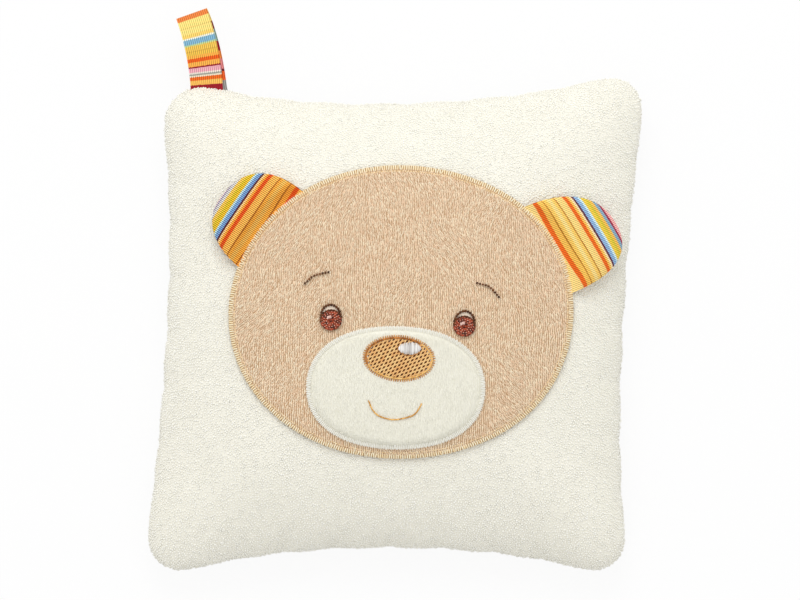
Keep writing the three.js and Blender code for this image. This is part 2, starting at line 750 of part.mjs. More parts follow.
function cover() {
  const group = new THREE.Group();
  const back = backPanels();
  const threadInset = COVER_CLOTH + CLEARANCE + SEAM_THREAD / 2;
  group.add(
    mesh("front_panel", domeShell(rim, ringShares(FRONT_RINGS), 0, FRONT_CROWN, COVER_CLOTH), creamPlush),
    mesh("back_panel_upper", back.upper, creamPlush),
    mesh("back_panel_lower", back.lower, creamPlush),
    mesh("cover_seam_thread", edgeThread(rim, threadInset, SEAM_THREAD), creamThread),
    mesh("closure_flap", closureFlap(), creamPlush),
    mesh("hook_tape", tape(hookFloor, HOOK_TAPE), hookNylon),
    mesh("loop_tape", tape(loopFloor, LOOP_TAPE), loopNylon),
  );
  return group;
}

function bag() {
  const group = new THREE.Group();
  const shares = ringShares(BAG_RINGS);
  const threadInset = BAG_INSET - CLEARANCE - BAG_THREAD / 2;
  const bagBack = bowlShell(coarseRim, BACK_RINGS, BAG_INSET, BAG_CURL, bagFloor, BAG_CLOTH);
  group.add(
    mesh("inner_bag_front", domeShell(coarseRim, shares, BAG_INSET, bagCrown, BAG_CLOTH), whiteCotton),
    mesh("inner_bag_back", bagBack, whiteCotton),
    mesh("inner_bag_seam_thread", edgeThread(coarseRim, threadInset, BAG_THREAD), creamThread),
    mesh("cherry_stones", stoneBed(), cherryStone),
  );
  return group;
}

function eye(name, settings) {
  const group = new THREE.Group();
  const iris = patchLayer(settings, SMALL_STEPS, SMALL_RINGS, onFaceLift, EYE_THREAD);
  const outline = patchBorder(settings, SMALL_STEPS, onFaceLift, EYE_BORDER_HEIGHT);
  const glint = patchLayer(eyeGlint(settings), SMALL_STEPS, 1, eyeGlintLift, GLINT_THREAD);
  group.add(
    mesh(`${name}_eye`, iris, brownThread),
    mesh(`${name}_eye_outline`, outline, darkThread),
    mesh(`${name}_eye_glint`, glint, paleThread),
  );
  return group;
}

function bearFace() {
  const group = new THREE.Group();
  group.add(
    mesh("face_patch", patchLayer(FACE, FACE_STEPS, FACE_RINGS, faceLift, FACE_CLOTH), beigePlush),
    mesh("face_border", patchBorder(FACE, FACE_STEPS, faceLift, FACE_BORDER_HEIGHT), goldThread),
    mesh("muzzle_patch", patchLayer(MUZZLE, FACE_STEPS, MUZZLE_RINGS, onFaceLift, MUZZLE_CLOTH), muzzlePlush),
    mesh("muzzle_border", patchBorder(MUZZLE, FACE_STEPS, onFaceLift, MUZZLE_BORDER_HEIGHT), creamThread),
    mesh("nose", patchLayer(NOSE, SMALL_STEPS, SMALL_RINGS, onMuzzleLift, NOSE_THREAD), tanThread),
    mesh("nose_border", patchBorder(NOSE, SMALL_STEPS, onMuzzleLift, NOSE_BORDER_HEIGHT), brownThread),
    mesh("nose_glint", patchLayer(NOSE_GLINT, SMALL_STEPS, 1, glintLift, GLINT_THREAD), paleThread),
    eye("left", LEFT_EYE),
    eye("right", RIGHT_EYE),
    mesh("left_brow", threadLine(LEFT_BROW, onFaceLift), darkThread),
    mesh("right_brow", threadLine(RIGHT_BROW, onFaceLift), darkThread),
    mesh("mouth", threadLine(MOUTH, onMuzzleLift), orangeThread),
  );
  return group;
}

const earCloths = { front: stripedCotton, wadding, back: stripedCotton };
const pillow = new THREE.Group();
pillow.add(
  cover(),
  bag(),
  bearFace(),
  ear("left", LEFT_EAR, earCloths),
  ear("right", RIGHT_EAR, earCloths),
  hangingLoop(stripedRibbon),
);

export default pillow;
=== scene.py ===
"""Looks of a cherry stone pillow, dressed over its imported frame.

The pillow lies on its back: +Z is up out of the face and +Y points to the edge that holds the ribbon loop.
Sizes in the classes are millimetres; meshes and everything handed to the frame are metres.
"""

import json
import logging
import math
from collections.abc import Sequence
from dataclasses import dataclass, field, replace
from enum import Enum
from itertools import product

import bmesh
import bpy
import numpy as np
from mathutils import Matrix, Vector, noise
from mathutils.bvhtree import BVHTree


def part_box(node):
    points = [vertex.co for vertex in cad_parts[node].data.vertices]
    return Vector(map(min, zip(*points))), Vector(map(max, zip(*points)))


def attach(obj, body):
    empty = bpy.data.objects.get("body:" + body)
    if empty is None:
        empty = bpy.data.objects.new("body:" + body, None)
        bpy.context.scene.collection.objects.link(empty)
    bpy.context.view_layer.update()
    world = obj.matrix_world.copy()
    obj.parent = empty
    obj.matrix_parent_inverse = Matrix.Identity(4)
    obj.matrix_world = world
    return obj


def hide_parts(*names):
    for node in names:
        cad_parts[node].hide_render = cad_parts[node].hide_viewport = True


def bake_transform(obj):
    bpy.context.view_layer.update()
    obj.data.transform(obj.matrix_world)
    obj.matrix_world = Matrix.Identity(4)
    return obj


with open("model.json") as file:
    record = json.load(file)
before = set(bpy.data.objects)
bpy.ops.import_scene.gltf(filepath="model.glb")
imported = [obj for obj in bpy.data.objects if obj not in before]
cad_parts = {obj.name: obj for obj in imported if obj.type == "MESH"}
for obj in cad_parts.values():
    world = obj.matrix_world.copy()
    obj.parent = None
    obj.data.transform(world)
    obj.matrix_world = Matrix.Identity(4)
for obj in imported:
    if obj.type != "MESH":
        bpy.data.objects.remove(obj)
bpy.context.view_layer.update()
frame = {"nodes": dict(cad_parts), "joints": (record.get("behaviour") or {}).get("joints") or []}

MM = 0.001
UV_CLOTH = "cloth"
UV_BAKE = "OFBake"
TONE, PILE, UP, SPAN = "tone", "pile", "up", "span"
SIDES = "left", "right"
WHITE = (1, 1, 1, 1)
TINY, TOUCH, LEVEL, AT_SEAM = 1e-6, 1e-5, 0.01, 0.05
FLAT_ANGLE = 0.6
PUFF_POWER = 2.2
LAYER_STEP, ROW_STEP, LAYER_SHIFT = 0.8165, 0.866, 0.2887
Pair = tuple[float, float]
Stripes = tuple[tuple[float, int], ...]
Array = np.ndarray
Object, Mesh, Node, Socket = bpy.types.Object, bpy.types.Mesh, bpy.types.Node, bpy.types.NodeSocket
log = logging.getLogger("pillow")


class Body(Enum):
    """The frame's moving bodies."""

    COVER = "cover"
    FLAP = "closure_flap"
    LEFT_EAR = "left_ear"
    RIGHT_EAR = "right_ear"
    LOOP = "hanging_loop"


class Hold(Enum):
    """How a sheet of cloth is kept in place."""

    LAID = "laid"
    FOLDED = "folded"
    STRETCHED = "stretched"


# Nodes


ALIGN, STORE = "FunctionNodeAlignRotationToVector", "GeometryNodeStoreNamedAttribute"


class Graph:
    """A node tree that is built one node at a time."""

    def __init__(self, tree: bpy.types.NodeTree) -> None:
        """Starts with a tree that is there already."""
        self.tree = tree

    def add(self, kind: str, inputs: dict | None = None, **settings: object) -> Node:
        """Adds a node.

        Args:
            kind: The node's type.
            inputs: Sockets to link or values to set, by the input's name or number.
            settings: The node's own properties.

        Returns:
            The node.
        """
        node = self.tree.nodes.new(kind)
        for key, value in settings.items():
            setattr(node, key, value)
        for key, value in (inputs or {}).items():
            if isinstance(value, Socket):
                self.tree.links.new(value, node.inputs[key])
            else:
                node.inputs[key].default_value = value
        return node

    def feed(self, output: Socket, node: Node, name: str) -> None:
        """Links an output to the input of that name."""
        self.tree.links.new(output, node.inputs[name])

    def math(self, operation: str, a: object, b: object = 0.0) -> Socket:
        """Works out one sum of values or sockets."""
        return self.add("ShaderNodeMath", {0: a, 1: b}, operation=operation).outputs[0]

    def weighed(self, a: object, share: float, b: object, rest: float) -> Socket:
        """Adds two values or sockets, each times its weight."""
        return self.math("ADD", self.math("MULTIPLY", a, share), self.math("MULTIPLY", b, rest))

    def mixed(self, share: object, a: object, b: object) -> Socket:
        """Mixes two colours, with a share of the second one."""
        return self.add("ShaderNodeMix", {0: share, 6: a, 7: b}, data_type="RGBA").outputs[2]

    def vector(self, x: object, y: object, z: object) -> Socket:
        """Joins three values or sockets into one vector."""
        return self.add("ShaderNodeCombineXYZ", {0: x, 1: y, 2: z}).outputs[0]

    def named(self, name: str, kind: str = "FLOAT") -> Socket:
        """Reads an attribute of the geometry."""
        return self.add("GeometryNodeInputNamedAttribute", {"Name": name}, data_type=kind).outputs[0]

    def aimed(self, up: object, course: object) -> Socket:
        """Finds the rotation that stands upright to a surface and points along a course."""
        inputs = {"Rotation": self.add(ALIGN, {"Vector": up}, axis="Z").outputs[0], "Vector": course}
        return self.add(ALIGN, inputs, axis="X", pivot_axis="Z").outputs[0]

    def turned(self, rotation: object, angles: object) -> Socket:
        """Turns a rotation further about its own X, Y and Z, by angles in radians."""
        inputs = {0: rotation, 1: self.add("FunctionNodeEulerToRotation", {0: angles}).outputs[0]}
        return self.add("FunctionNodeRotateRotation", inputs, rotation_space="LOCAL").outputs[0]


# Finishes


SPECULAR = 0.25
WAVE_UNITS = 20
WEAVE_SHARE, SLUB_SHARE, SLUB_SCALE = 0.6, 0.4, 400.0
WEAVE_BUMP, WEAVE_DEPTH = 0.25, 0.0002
STRIPE_SLUB_SCALE, STRIPE_SLUB, STRIPE_SWAY = 900.0, 0.00035, 0.0001
LEAST_SHARE = 0.001
# Share of slub and base level of the ribs' painted shade.
RIB_SLUB, RIB_SHADE_LEVEL = 0.2, 0.8
STONE_SPECK = 1 / 0.9


def linear(colour: int) -> tuple[float, float, float, float]:
    """Turns a screen colour, written as 0xRRGGBB, into the linear light that shaders take."""
    parts = (c / 255 for c in colour.to_bytes(3, "big"))
    return (*(p / 12.92 if p <= 0.04045 else ((p + 0.055) / 1.055) ** 2.4 for p in parts), 1.0)


@dataclass(frozen=True)
class Finish:
    """What a surface is made of."""

    name: str
    slot: str
    roughness: float

    def material(self) -> bpy.types.Material:
        """Finds the finish's material, or makes it at its first use.

        Returns:
            The material.
        """
        name = "look_" + self.name
        found = bpy.data.materials.get(name)
        if found:
            return found
        material = bpy.data.materials.new(name)
        material.use_nodes = True
        shader = material.node_tree.nodes["Principled BSDF"]
        shader.inputs["Roughness"].default_value = self.roughness
        shader.inputs["Specular IOR Level"].default_value = SPECULAR
        self.paint(Graph(material.node_tree), shader)
        return material

    def paint(self, graph: Graph, shader: Node) -> None:
        """Links the finish's nodes to its shader."""
        raise NotImplementedError


@dataclass(frozen=True)
class TwoToneFinish(Finish):
    """A surface that runs from a deep tone to a pale one."""

    deep: int = 0x808080
    pale: int = 0xFFFFFF

    def tint(self, graph: Graph, shader: Node, share: Socket) -> None:
        """Links the mix of both tones to the shader, with the share of the pale one."""
        graph.feed(graph.mixed(share, linear(self.deep), linear(self.pale)), shader, "Base Color")


@dataclass(frozen=True)
class FibreFinish(TwoToneFinish):
    """Pile, thread, fluff or stones that differ in tone from one to the next."""

    cloud: float = 14.0
    strand: float = 0.55
    detail: float = 2.0

    def paint(self, graph: Graph, shader: Node) -> None:
        """Links a mix of each strand's own tone and broad cloudy patches.

        Args:
            graph: The material's tree.
            shader: The shader that they feed.
        """
        place = graph.add("ShaderNodeTexCoord").outputs["Object"]
        inputs = {"Vector": place, "Scale": 1 / (self.cloud * MM), "Detail": self.detail}
        cloud = graph.add("ShaderNodeTexNoise", inputs).outputs["Fac"]
        tone = graph.add("ShaderNodeAttribute", attribute_name=TONE).outputs["Fac"]
        self.tint(graph, shader, graph.weighed(tone, self.strand, cloud, 1 - self.strand))


@dataclass(frozen=True)
class WovenFinish(TwoToneFinish):
    """Plain woven cloth or tape with threads both ways."""

    thread: float = 0.5

    def paint(self, graph: Graph, shader: Node) -> None:
        """Links two crossing thread patterns, in tone and as a fine bump.

        Args:
            graph: The material's tree.
            shader: The shader that they feed.
        """
        place = graph.add("ShaderNodeTexCoord").outputs["Object"]
        inputs = {"Vector": place, "Scale": math.tau / (self.thread * MM) / WAVE_UNITS}
        ways = [graph.add("ShaderNodeTexWave", inputs, bands_direction=way).outputs["Fac"] for way in "XY"]
        weave = graph.math("MULTIPLY", *ways)
        slub = graph.add("ShaderNodeTexNoise", {"Vector": place, "Scale": SLUB_SCALE}).outputs["Fac"]
        self.tint(graph, shader, graph.weighed(weave, WEAVE_SHARE, slub, SLUB_SHARE))
        bump = graph.add("ShaderNodeBump", {"Height": weave, "Strength": WEAVE_BUMP, "Distance": WEAVE_DEPTH})
        graph.feed(bump.outputs[0], shader, "Normal")


@dataclass(frozen=True)
class StripedFinish(Finish):
    """Ribbed cloth with woven stripes: each stripe is its upper end in millimetres and its colour."""

    stripes: Stripes = ()
    rib: float = 0.75
    offset: float = 0.0
    # How strongly the ribs' painted shade darkens the stripes.
    depth: float = 0.32

    def paint(self, graph: Graph, shader: Node) -> None:
        """Links the stripes along the cloth's own map and, across them, a painted shade of the ribs that
        darkens the stripes in a wave.

        Args:
            graph: The material's tree.
            shader: The shader that they feed.
        """
        cloth = graph.add("ShaderNodeUVMap", uv_map=UV_CLOTH).outputs["UV"]
        across, along, _ = graph.add("ShaderNodeSeparateXYZ", {"Vector": cloth}).outputs
        inputs = {"Vector": cloth, "Scale": STRIPE_SLUB_SCALE, "Detail": 1.0}
        slub = graph.add("ShaderNodeTexNoise", inputs).outputs["Fac"]
        wave = graph.math("SINE", graph.math("MULTIPLY", across, math.tau / (self.rib * MM)))
        ragged = graph.weighed(graph.math("SUBTRACT", slub, 0.5), STRIPE_SLUB, wave, STRIPE_SWAY)
        along = graph.math("ADD", graph.math("ADD", along, ragged), self.offset * MM)
        share = graph.math("MAXIMUM", graph.math("DIVIDE", along, self.stripes[-1][0] * MM), LEAST_SHARE)
        # Painted shade of the ribs: a wave across them, with some slub, times the stripes' colour.
        rib = graph.math("ADD", graph.weighed(wave, self.depth, slub, RIB_SLUB), RIB_SHADE_LEVEL)
        inputs = {0: 1.0, 6: self.ramp(graph, share), 7: rib}
        tinted = graph.add("ShaderNodeMix", inputs, data_type="RGBA", blend_type="MULTIPLY")
        graph.feed(tinted.outputs[2], shader, "Base Color")

    def ramp(self, graph: Graph, share: Socket) -> Socket:
        """Looks up the stripes' colours.

        Args:
            graph: The material's tree.
            share: 0 at the first stripe's start and 1 at the last one's end.

        Returns:
            The colour's socket.
        """
        ramp = graph.add("ShaderNodeValToRGB", {"Fac": share})
        ramp.color_ramp.interpolation = "CONSTANT"
        stops, length, start = ramp.color_ramp.elements, self.stripes[-1][0], 0.0
        for number, (end, colour) in enumerate(self.stripes):
            stop = stops[number] if number < 2 else stops.new(start / length)
            stop.position = start / length
            stop.color = linear(colour)
            start = end
        return ramp.outputs["Color"]


FACE_WAVES: tuple[Pair, ...] = (
    (-0.0065, -0.0045), (-0.0096, -0.0024), (-0.0001, -0.0021), (-0.0052, 0.0033), (-0.0021, 0.0012),
)
RIGHT_STRIPES: Stripes = (
    (4.0, 0xFEDC8A), (5.7, 0xF06A1A), (7.6, 0xFDC85C), (8.05, 0xBE7A1E), (9.6, 0xFDCD64), (11.2, 0xFCDE8E),
    (12.4, 0xFDCF68), (12.85, 0xBE7A1E), (14.4, 0xFEDB84), (15.8, 0xFED680), (17.4, 0xF06A1A),
    (18.3, 0xFDC65C), (19.2, 0xFEE2B0), (19.85, 0x5C1638), (21.5, 0x92B6DC), (22.3, 0xD0ECF0),
    (23.6, 0xF2CE46), (24.6, 0xDAC83C), (25.9, 0xF6C054), (27.3, 0x8AACC0), (28.1, 0xA02244),
    (40.0, 0xF8B0AC),
)
# The right ear's stripes up to 24.6 mm, darker and more orange all over: painted shade on the left ear.
LEFT_SHADED_STRIPES: Stripes = (
    (4.0, 0xF2AF4F), (5.7, 0xE04D05), (7.6, 0xF09B31), (8.05, 0xA05107), (9.6, 0xF0A53B), (11.2, 0xE8B153),
    (12.4, 0xF0A53B), (12.85, 0xA45507), (14.4, 0xF1B14F), (15.8, 0xF1AB4B), (17.4, 0xDE4D05),
    (18.3, 0xF1A137), (19.2, 0xF4C785), (19.85, 0x4C0523), (21.5, 0x7499C7), (22.3, 0xB4D7D9),
    (23.6, 0xE4B723), (24.6, 0xD6B925), (26.2, 0xECBF4B), (27.4, 0xCECBC5), (28.2, 0xAEA1B3),
    (40.0, 0xF0D9CD),
)
RIBBON_STRIPES: Stripes = (
    (0.8, 0x9E1022), (2.7, 0xFAC05C), (4.3, 0xEC6C1A), (4.9, 0xEEE2C8), (5.4, 0x9EA094), (6.0, 0xEEE2D6),
    (7.9, 0xEEACB8), (8.6, 0x981022), (10.6, 0xFCB24C), (12.0, 0xEC6012), (13.3, 0xFCB44A),
    (14.8, 0xEEC04C), (15.2, 0xD6A642), (17.3, 0xF0C454), (18.1, 0xBED496), (20.3, 0x82B4CE),
    (20.9, 0xEEF0DE), (22.2, 0xFCD46E), (24.7, 0xFCE284), (25.1, 0xE8C870), (28.2, 0xFCE080),
    (31.4, 0xE8803A), (38.0, 0xFCE284), (41.0, 0x922828), (46.0, 0x96B4AA), (50.0, 0x9E1022),
    (53.0, 0xF08C3C), (57.0, 0xE88C8C), (58.0, 0x78141E), (61.5, 0xEC601E), (80.0, 0x969692),
)
CREAM_PILE = FibreFinish("cream_pile", "cream_plush", 1.0, 0xF4F2E8, 0xFFFEF8, 16.0, 0.5)
CREAM_CLOTH = FibreFinish("cream_cloth", "cream_plush", 1.0, 0xEEEBDE, 0xFCFAF0, 12.0)
BEIGE_PILE = FibreFinish("beige_pile", "beige_plush", 1.0, 0xF7D9BA, 0xFFF7E0, 11.0, 0.85)
# The face patch's cloth, much darker than its nap, so that it shows as painted shade in the gaps between the
# nap's columns.
BEIGE_SHADED_CLOTH = FibreFinish("beige_cloth", "beige_plush", 1.0, 0xB89672, 0xCEAC88, 8.0)
MUZZLE_PILE = FibreFinish("muzzle_pile", "muzzle_plush", 1.0, 0xECEADE, 0xFAF8EE, 8.0, 0.6)
MUZZLE_CLOTH = FibreFinish("muzzle_cloth", "muzzle_plush", 1.0, 0xECEADC, 0xFAF8EC, 6.0)
GOLD_THREAD = FibreFinish("gold_thread", "gold_thread", 0.6, 0xFAE4B8, 0xFFFAE2, 9.0, 0.8)
GOLD_PALE = FibreFinish("gold_pale_thread", "gold_thread", 0.6, 0xE8C892, 0xFFECC2, 9.0, 0.7)
MUZZLE_THREAD = FibreFinish("muzzle_thread", "cream_thread", 0.7, 0xF2F0E7, 0xFDFCF6, 9.0, 0.7)
# Painted shade: dark thread for the ticks between the face border's pale stitches, standing for the shade in
# their gaps.
PAINTED_SHADE_THREAD = FibreFinish("shade_thread", "gold_thread", 0.8, 0xBE9C6A, 0xDEBE8E, 9.0, 0.7)
CREAM_THREAD = FibreFinish("cream_thread", "cream_thread", 0.6, 0xDED4BE, 0xFAF4E6, 9.0, 0.7)
# The nose thread's own tone is orange-tan; its pale cream end, in fine patches along the threads, is painted
# highlight.
TAN_THREAD = FibreFinish("tan_thread", "tan_thread", 0.5, 0xDA8A3E, 0xFFE8A8, 1.6, 0.2)
BROWN_GROUND = FibreFinish("brown_ground", "tan_thread", 0.9, 0x502606, 0x7A4416, 4.0)
RIM_THREAD = FibreFinish("rim_thread", "brown_thread", 0.55, 0x864C1A, 0xD68E46, 6.0, 0.7)
FRINGE_THREAD = FibreFinish("fringe_thread", "brown_thread", 0.6, 0xAC6E2E, 0xECB466, 5.0, 0.8)
RIM_PALE = FibreFinish("rim_pale_thread", "brown_thread", 0.55, 0xDAA04E, 0xFCD890, 6.0, 0.7)
IRIS_THREAD = FibreFinish("iris_thread", "brown_thread", 0.55, 0x280400, 0xBA5436, 3.0, 1.0)
# Pale stitches that stand for the light on the iris's thread: painted highlight.
IRIS_SHEEN = FibreFinish("iris_sheen", "brown_thread", 0.5, 0xE8A084, 0xFFD8C2, 3.0, 0.8)
LID_THREAD = FibreFinish("lid_thread", "brown_thread", 0.6, 0xFFECD6, 0xFFF6E8, 3.0, 0.7)
DARK_THREAD = FibreFinish("dark_thread", "dark_thread", 0.55, 0x280E02, 0x784824, 4.0, 0.9)
PALE_THREAD = FibreFinish("pale_thread", "pale_thread", 0.5, 0xBCB6B2, 0xFCFAF6, 4.0, 0.9)
SHINE_THREAD = FibreFinish("shine_thread", "pale_thread", 0.5, 0xE4B8AA, 0xFADED2, 4.0, 0.9)
ORANGE_THREAD = FibreFinish("orange_thread", "orange_thread", 0.55, 0xB87C2E, 0xFAC874, 6.0, 0.8)
# The left ear's cloth: painted shade in its darker stripes and in its deeper rib shade.
EAR_LEFT_SHADED = StripedFinish("ear_cotton_left", "striped_cotton", 0.75, LEFT_SHADED_STRIPES, 0.75, 3.1, 0.72)
EAR_RIGHT = StripedFinish("ear_cotton_right", "striped_cotton", 0.75, RIGHT_STRIPES, 0.75, 0.0, 0.4)
RIBBON = StripedFinish("ribbon_cotton", "striped_ribbon", 0.65, RIBBON_STRIPES, 0.8, 0.0)
BAG_COTTON = WovenFinish("bag_cotton", "white_cotton", 0.9, 0xE4DECE, 0xFAF6EC, 0.6)
WADDING = FibreFinish("wadding", "wadding", 1.0, 0xEEEEE8, 0xFFFFFC, 6.0)
HOOK_TAPE = WovenFinish("hook_tape", "hook_nylon", 0.6, 0xDED8CA, 0xF6F2E8, 0.45)
HOOKS = FibreFinish("hooks", "hook_nylon", 0.4, 0xE2DED2, 0xFAF8F2, 6.0)
LOOP_TAPE = WovenFinish("loop_tape", "loop_nylon", 0.7, 0xE2DED4, 0xF8F6F0, 0.45)
LOOPS = FibreFinish("loops", "loop_nylon", 0.7, 0xE8E4DC, 0xFDFCF8, 5.0)
STONE = FibreFinish("cherry_stone", "cherry_stone", 0.85, 0x96683E, 0xD0A674, STONE_SPECK, 0.6, detail=3.0)


@dataclass(frozen=True)
class Stitch:
    """How a row of stitches is sewn: sizes in millimetres, angles from its path in degrees."""

    finish: Finish
    pitch: float
    length: float
    thread: float
    turn: float = 0.0
    sway: float = 0.0
    jitter: float = 0.05
    seed: int = 1
    lift: float = 0.0


@dataclass(frozen=True)
class Nap:
    """How a patch is combed: sizes in millimetres, angles in radians, columns high and low on the front."""

    name: str
    finish: Finish
    spacing: float
    size: float
    turn: float
    wander: float
    gather: Pair
    seed: int
    bearing: float = -1.57
    ruffle: float = 0.16
    column: float = 0.85


HEM_ROW = Stitch(CREAM_THREAD, pitch=3.2, length=2.4, thread=0.5)
COVER_SEAM = Stitch(CREAM_THREAD, pitch=2.2, length=3.0, thread=0.7, turn=55)
BAG_SEAM = Stitch(CREAM_THREAD, pitch=2.0, length=2.4, thread=0.7, turn=55)
FACE_ZIGZAG = Stitch(GOLD_THREAD, 0.9, 2.4, 0.52, turn=90, sway=6, jitter=0.15, seed=2, lift=0.75)
# Dark ticks between the border's pale stitches: painted shade in the gaps.
FACE_SHADE_TICKS = Stitch(PAINTED_SHADE_THREAD, 0.9, 2.04, 0.4, turn=90, sway=4, jitter=0.2, seed=9, lift=0.7)
FACE_LINE = Stitch(GOLD_PALE, 1.05, 0.8, 0.6, turn=14, jitter=0.3, seed=3, lift=1.0)
MUZZLE_ZIGZAG = Stitch(MUZZLE_THREAD, 0.72, 2.2, 0.42, turn=90, sway=5, jitter=0.14, seed=4, lift=2.75)
NOSE_FRINGE = Stitch(FRINGE_THREAD, 0.9, 1.4, 0.5, turn=90, sway=3, jitter=0.3, seed=5, lift=4.0)
NOSE_RIM = Stitch(RIM_THREAD, 0.9, 1.4, 0.7, turn=8, jitter=0.1, seed=6, lift=4.35)
NOSE_RIM_LOW = Stitch(RIM_PALE, 0.9, 1.4, 0.6, turn=8, jitter=0.1, seed=6, lift=4.2)
GLINT_SATIN = Stitch(PALE_THREAD, 0.34, 5.3, 0.46, turn=90, sway=3, seed=7, lift=5.2)
GLINT_LINE = Stitch(RIM_THREAD, 1.0, 1.1, 0.32, jitter=0.1, seed=8, lift=4.9)
IRIS_ROW = Stitch(IRIS_THREAD, 0.58, 1.15, 0.8, turn=62, jitter=0.6, seed=40, lift=2.75)
SHEEN_ROW = Stitch(IRIS_SHEEN, 1.15, 0.8, 0.36, turn=58, jitter=0.8, seed=70, lift=3.05)
LID_ROW = Stitch(DARK_THREAD, 1.05, 1.15, 1.05, turn=20, jitter=0.3, seed=50, lift=2.8)
UNDER_ROW = replace(LID_ROW, thread=0.4, lift=2.6)
FOLD_ROW = replace(LID_ROW, thread=0.75, lift=3.1)
SHINE_ROW = Stitch(SHINE_THREAD, 0.34, 1.35, 0.34, turn=68, jitter=0.7, seed=60, lift=3.3)
BROW_ROW = Stitch(DARK_THREAD, 1.1, 1.0, 0.82, turn=38, jitter=0.35, lift=2.35)
MOUTH_ROW = Stitch(ORANGE_THREAD, 1.05, 1.35, 0.56, turn=10, jitter=0.1, lift=4.15)
FACE_NAP = Nap("face_patch_nap", BEIGE_PILE, 0.45, 0.84, turn=7.0, wander=2.6, gather=(0.26, 0.55), seed=21)
MUZZLE_NAP = Nap("muzzle_patch_nap", MUZZLE_PILE, 0.42, 0.8, turn=2.0, wander=0.5, gather=(0.5, 0.5), seed=22)


# Meshes


def add_object(name: str, data: bpy.types.ID) -> Object:
    """Makes an object and links it to the scene.

    Args:
        name: The object's name.
        data: Its mesh, camera or lamp.

    Returns:
        The object.
    """
    obj = bpy.data.objects.new(name, data)
    bpy.context.scene.collection.objects.link(obj)
    return obj


def make_object(name: str, points: Array, faces: Sequence, edges: Sequence = ()) -> Object:
    """Makes a mesh object.

    Args:
        name: The object's name.
        points: Vertices in millimetres, one per row.
        faces: Vertex numbers of each face.
        edges: Vertex numbers of loose edges.

    Returns:
        The object, linked to the scene.
    """
    mesh = bpy.data.meshes.new(name)
    mesh.from_pydata((np.asarray(points, float) * MM).tolist(), list(edges), list(faces))
    mesh.update()
    if faces:
        mesh.shade_smooth()
    return add_object(name, mesh)


def from_bmesh(name: str, shape: bmesh.types.BMesh) -> Object:
    """Makes an object of an edited shape, which is then freed.

    Args:
        name: The object's name.
        shape: The edited shape.

    Returns:
        The object.
    """
    mesh = bpy.data.meshes.new(name)
    shape.to_mesh(mesh)
    shape.free()
    return add_object(name, mesh)


def evaluated(obj: Object) -> Mesh:
    """Copies what an object's modifiers make of it.

    Args:
        obj: The object, which stays as it is.

    Returns:
        A plain mesh.
    """
    depsgraph = bpy.context.evaluated_depsgraph_get()
    depsgraph.update()
    return bpy.data.meshes.new_from_object(obj.evaluated_get(depsgraph), depsgraph=depsgraph)


def drop(obj: Object) -> None:
    """Removes a helper object and its mesh.

    Args:
        obj: The object.
    """
    mesh = obj.data
    bpy.data.objects.remove(obj)
    bpy.data.meshes.remove(mesh)


def keep_shape(obj: Object, name: str) -> Object:
    """Turns an object with modifiers into one with a plain mesh.

    Args:
        obj: The object, which is removed.
        name: The new object's name.

    Returns:
        The new object.
    """
    mesh = evaluated(obj)
    drop(obj)
    mesh.name = name
    return add_object(name, mesh)


def soft_copy(node: str, name: str, levels: int) -> Object:
    """Copies a CAD node and rounds it as cloth.

    Args:
        node: The CAD node.
        name: The copy's name.
        levels: How often its faces are divided.

    Returns:
        The copy.
    """
    shape = bmesh.new()
    source = frame["nodes"][node]
    shape.from_mesh(source.data)
    shape.transform(source.matrix_world)
    bmesh.ops.remove_doubles(shape, verts=shape.verts[:], dist=TOUCH)
    limits = {"angle_face_threshold": FLAT_ANGLE, "angle_shape_threshold": FLAT_ANGLE}
    bmesh.ops.join_triangles(shape, faces=shape.faces[:], **limits)
    obj = from_bmesh(name, shape)
    obj.data.materials.clear()
    obj.data.shade_smooth()
    rounder = obj.modifiers.new("round", "SUBSURF")
    rounder.levels = rounder.render_levels = levels
    return keep_shape(obj, name)


def ring_faces(rings: int, sides: int) -> list[tuple[int, ...]]:
    """Lists the quads between rings of points.

    Args:
        rings: How many rings there are.
        sides: Points round each ring.

    Returns:
        The quads.
    """
    faces = []
    for ring in range(rings - 1):
        for side in range(sides):
            a, b = ring * sides + side, ring * sides + (side + 1) % sides
            faces.append((a, b, b + sides, a + sides))
    return faces


def grid_faces(rows: int, columns: int, first: int = 0, turned: bool = False) -> list[tuple[int, ...]]:
    """Lists the quads of a grid of points.

    Args:
        rows: Points down the grid.
        columns: Points across it.
        first: Number of its first point.
        turned: Whether its faces look the other way.

    Returns:
        The quads.
    """
    faces = []
    for row in range(rows - 1):
        for column in range(columns - 1):
            a = first + row * columns + column
            quad = (a, a + 1, a + columns + 1, a + columns)
            faces.append(quad[::-1] if turned else quad)
    return faces


def lay_map(mesh: Mesh, label: str, flat: Array) -> None:
    """Gives a mesh a flat map.

    Args:
        mesh: The mesh.
        label: The map's name.
        flat: Place of each vertex on the map.
    """
    corners = np.empty(len(mesh.loops), int)
    mesh.loops.foreach_get("vertex_index", corners)
    layer = mesh.uv_layers.get(label) or mesh.uv_layers.new(name=label)
    layer.data.foreach_set("uv", flat[corners].ravel())


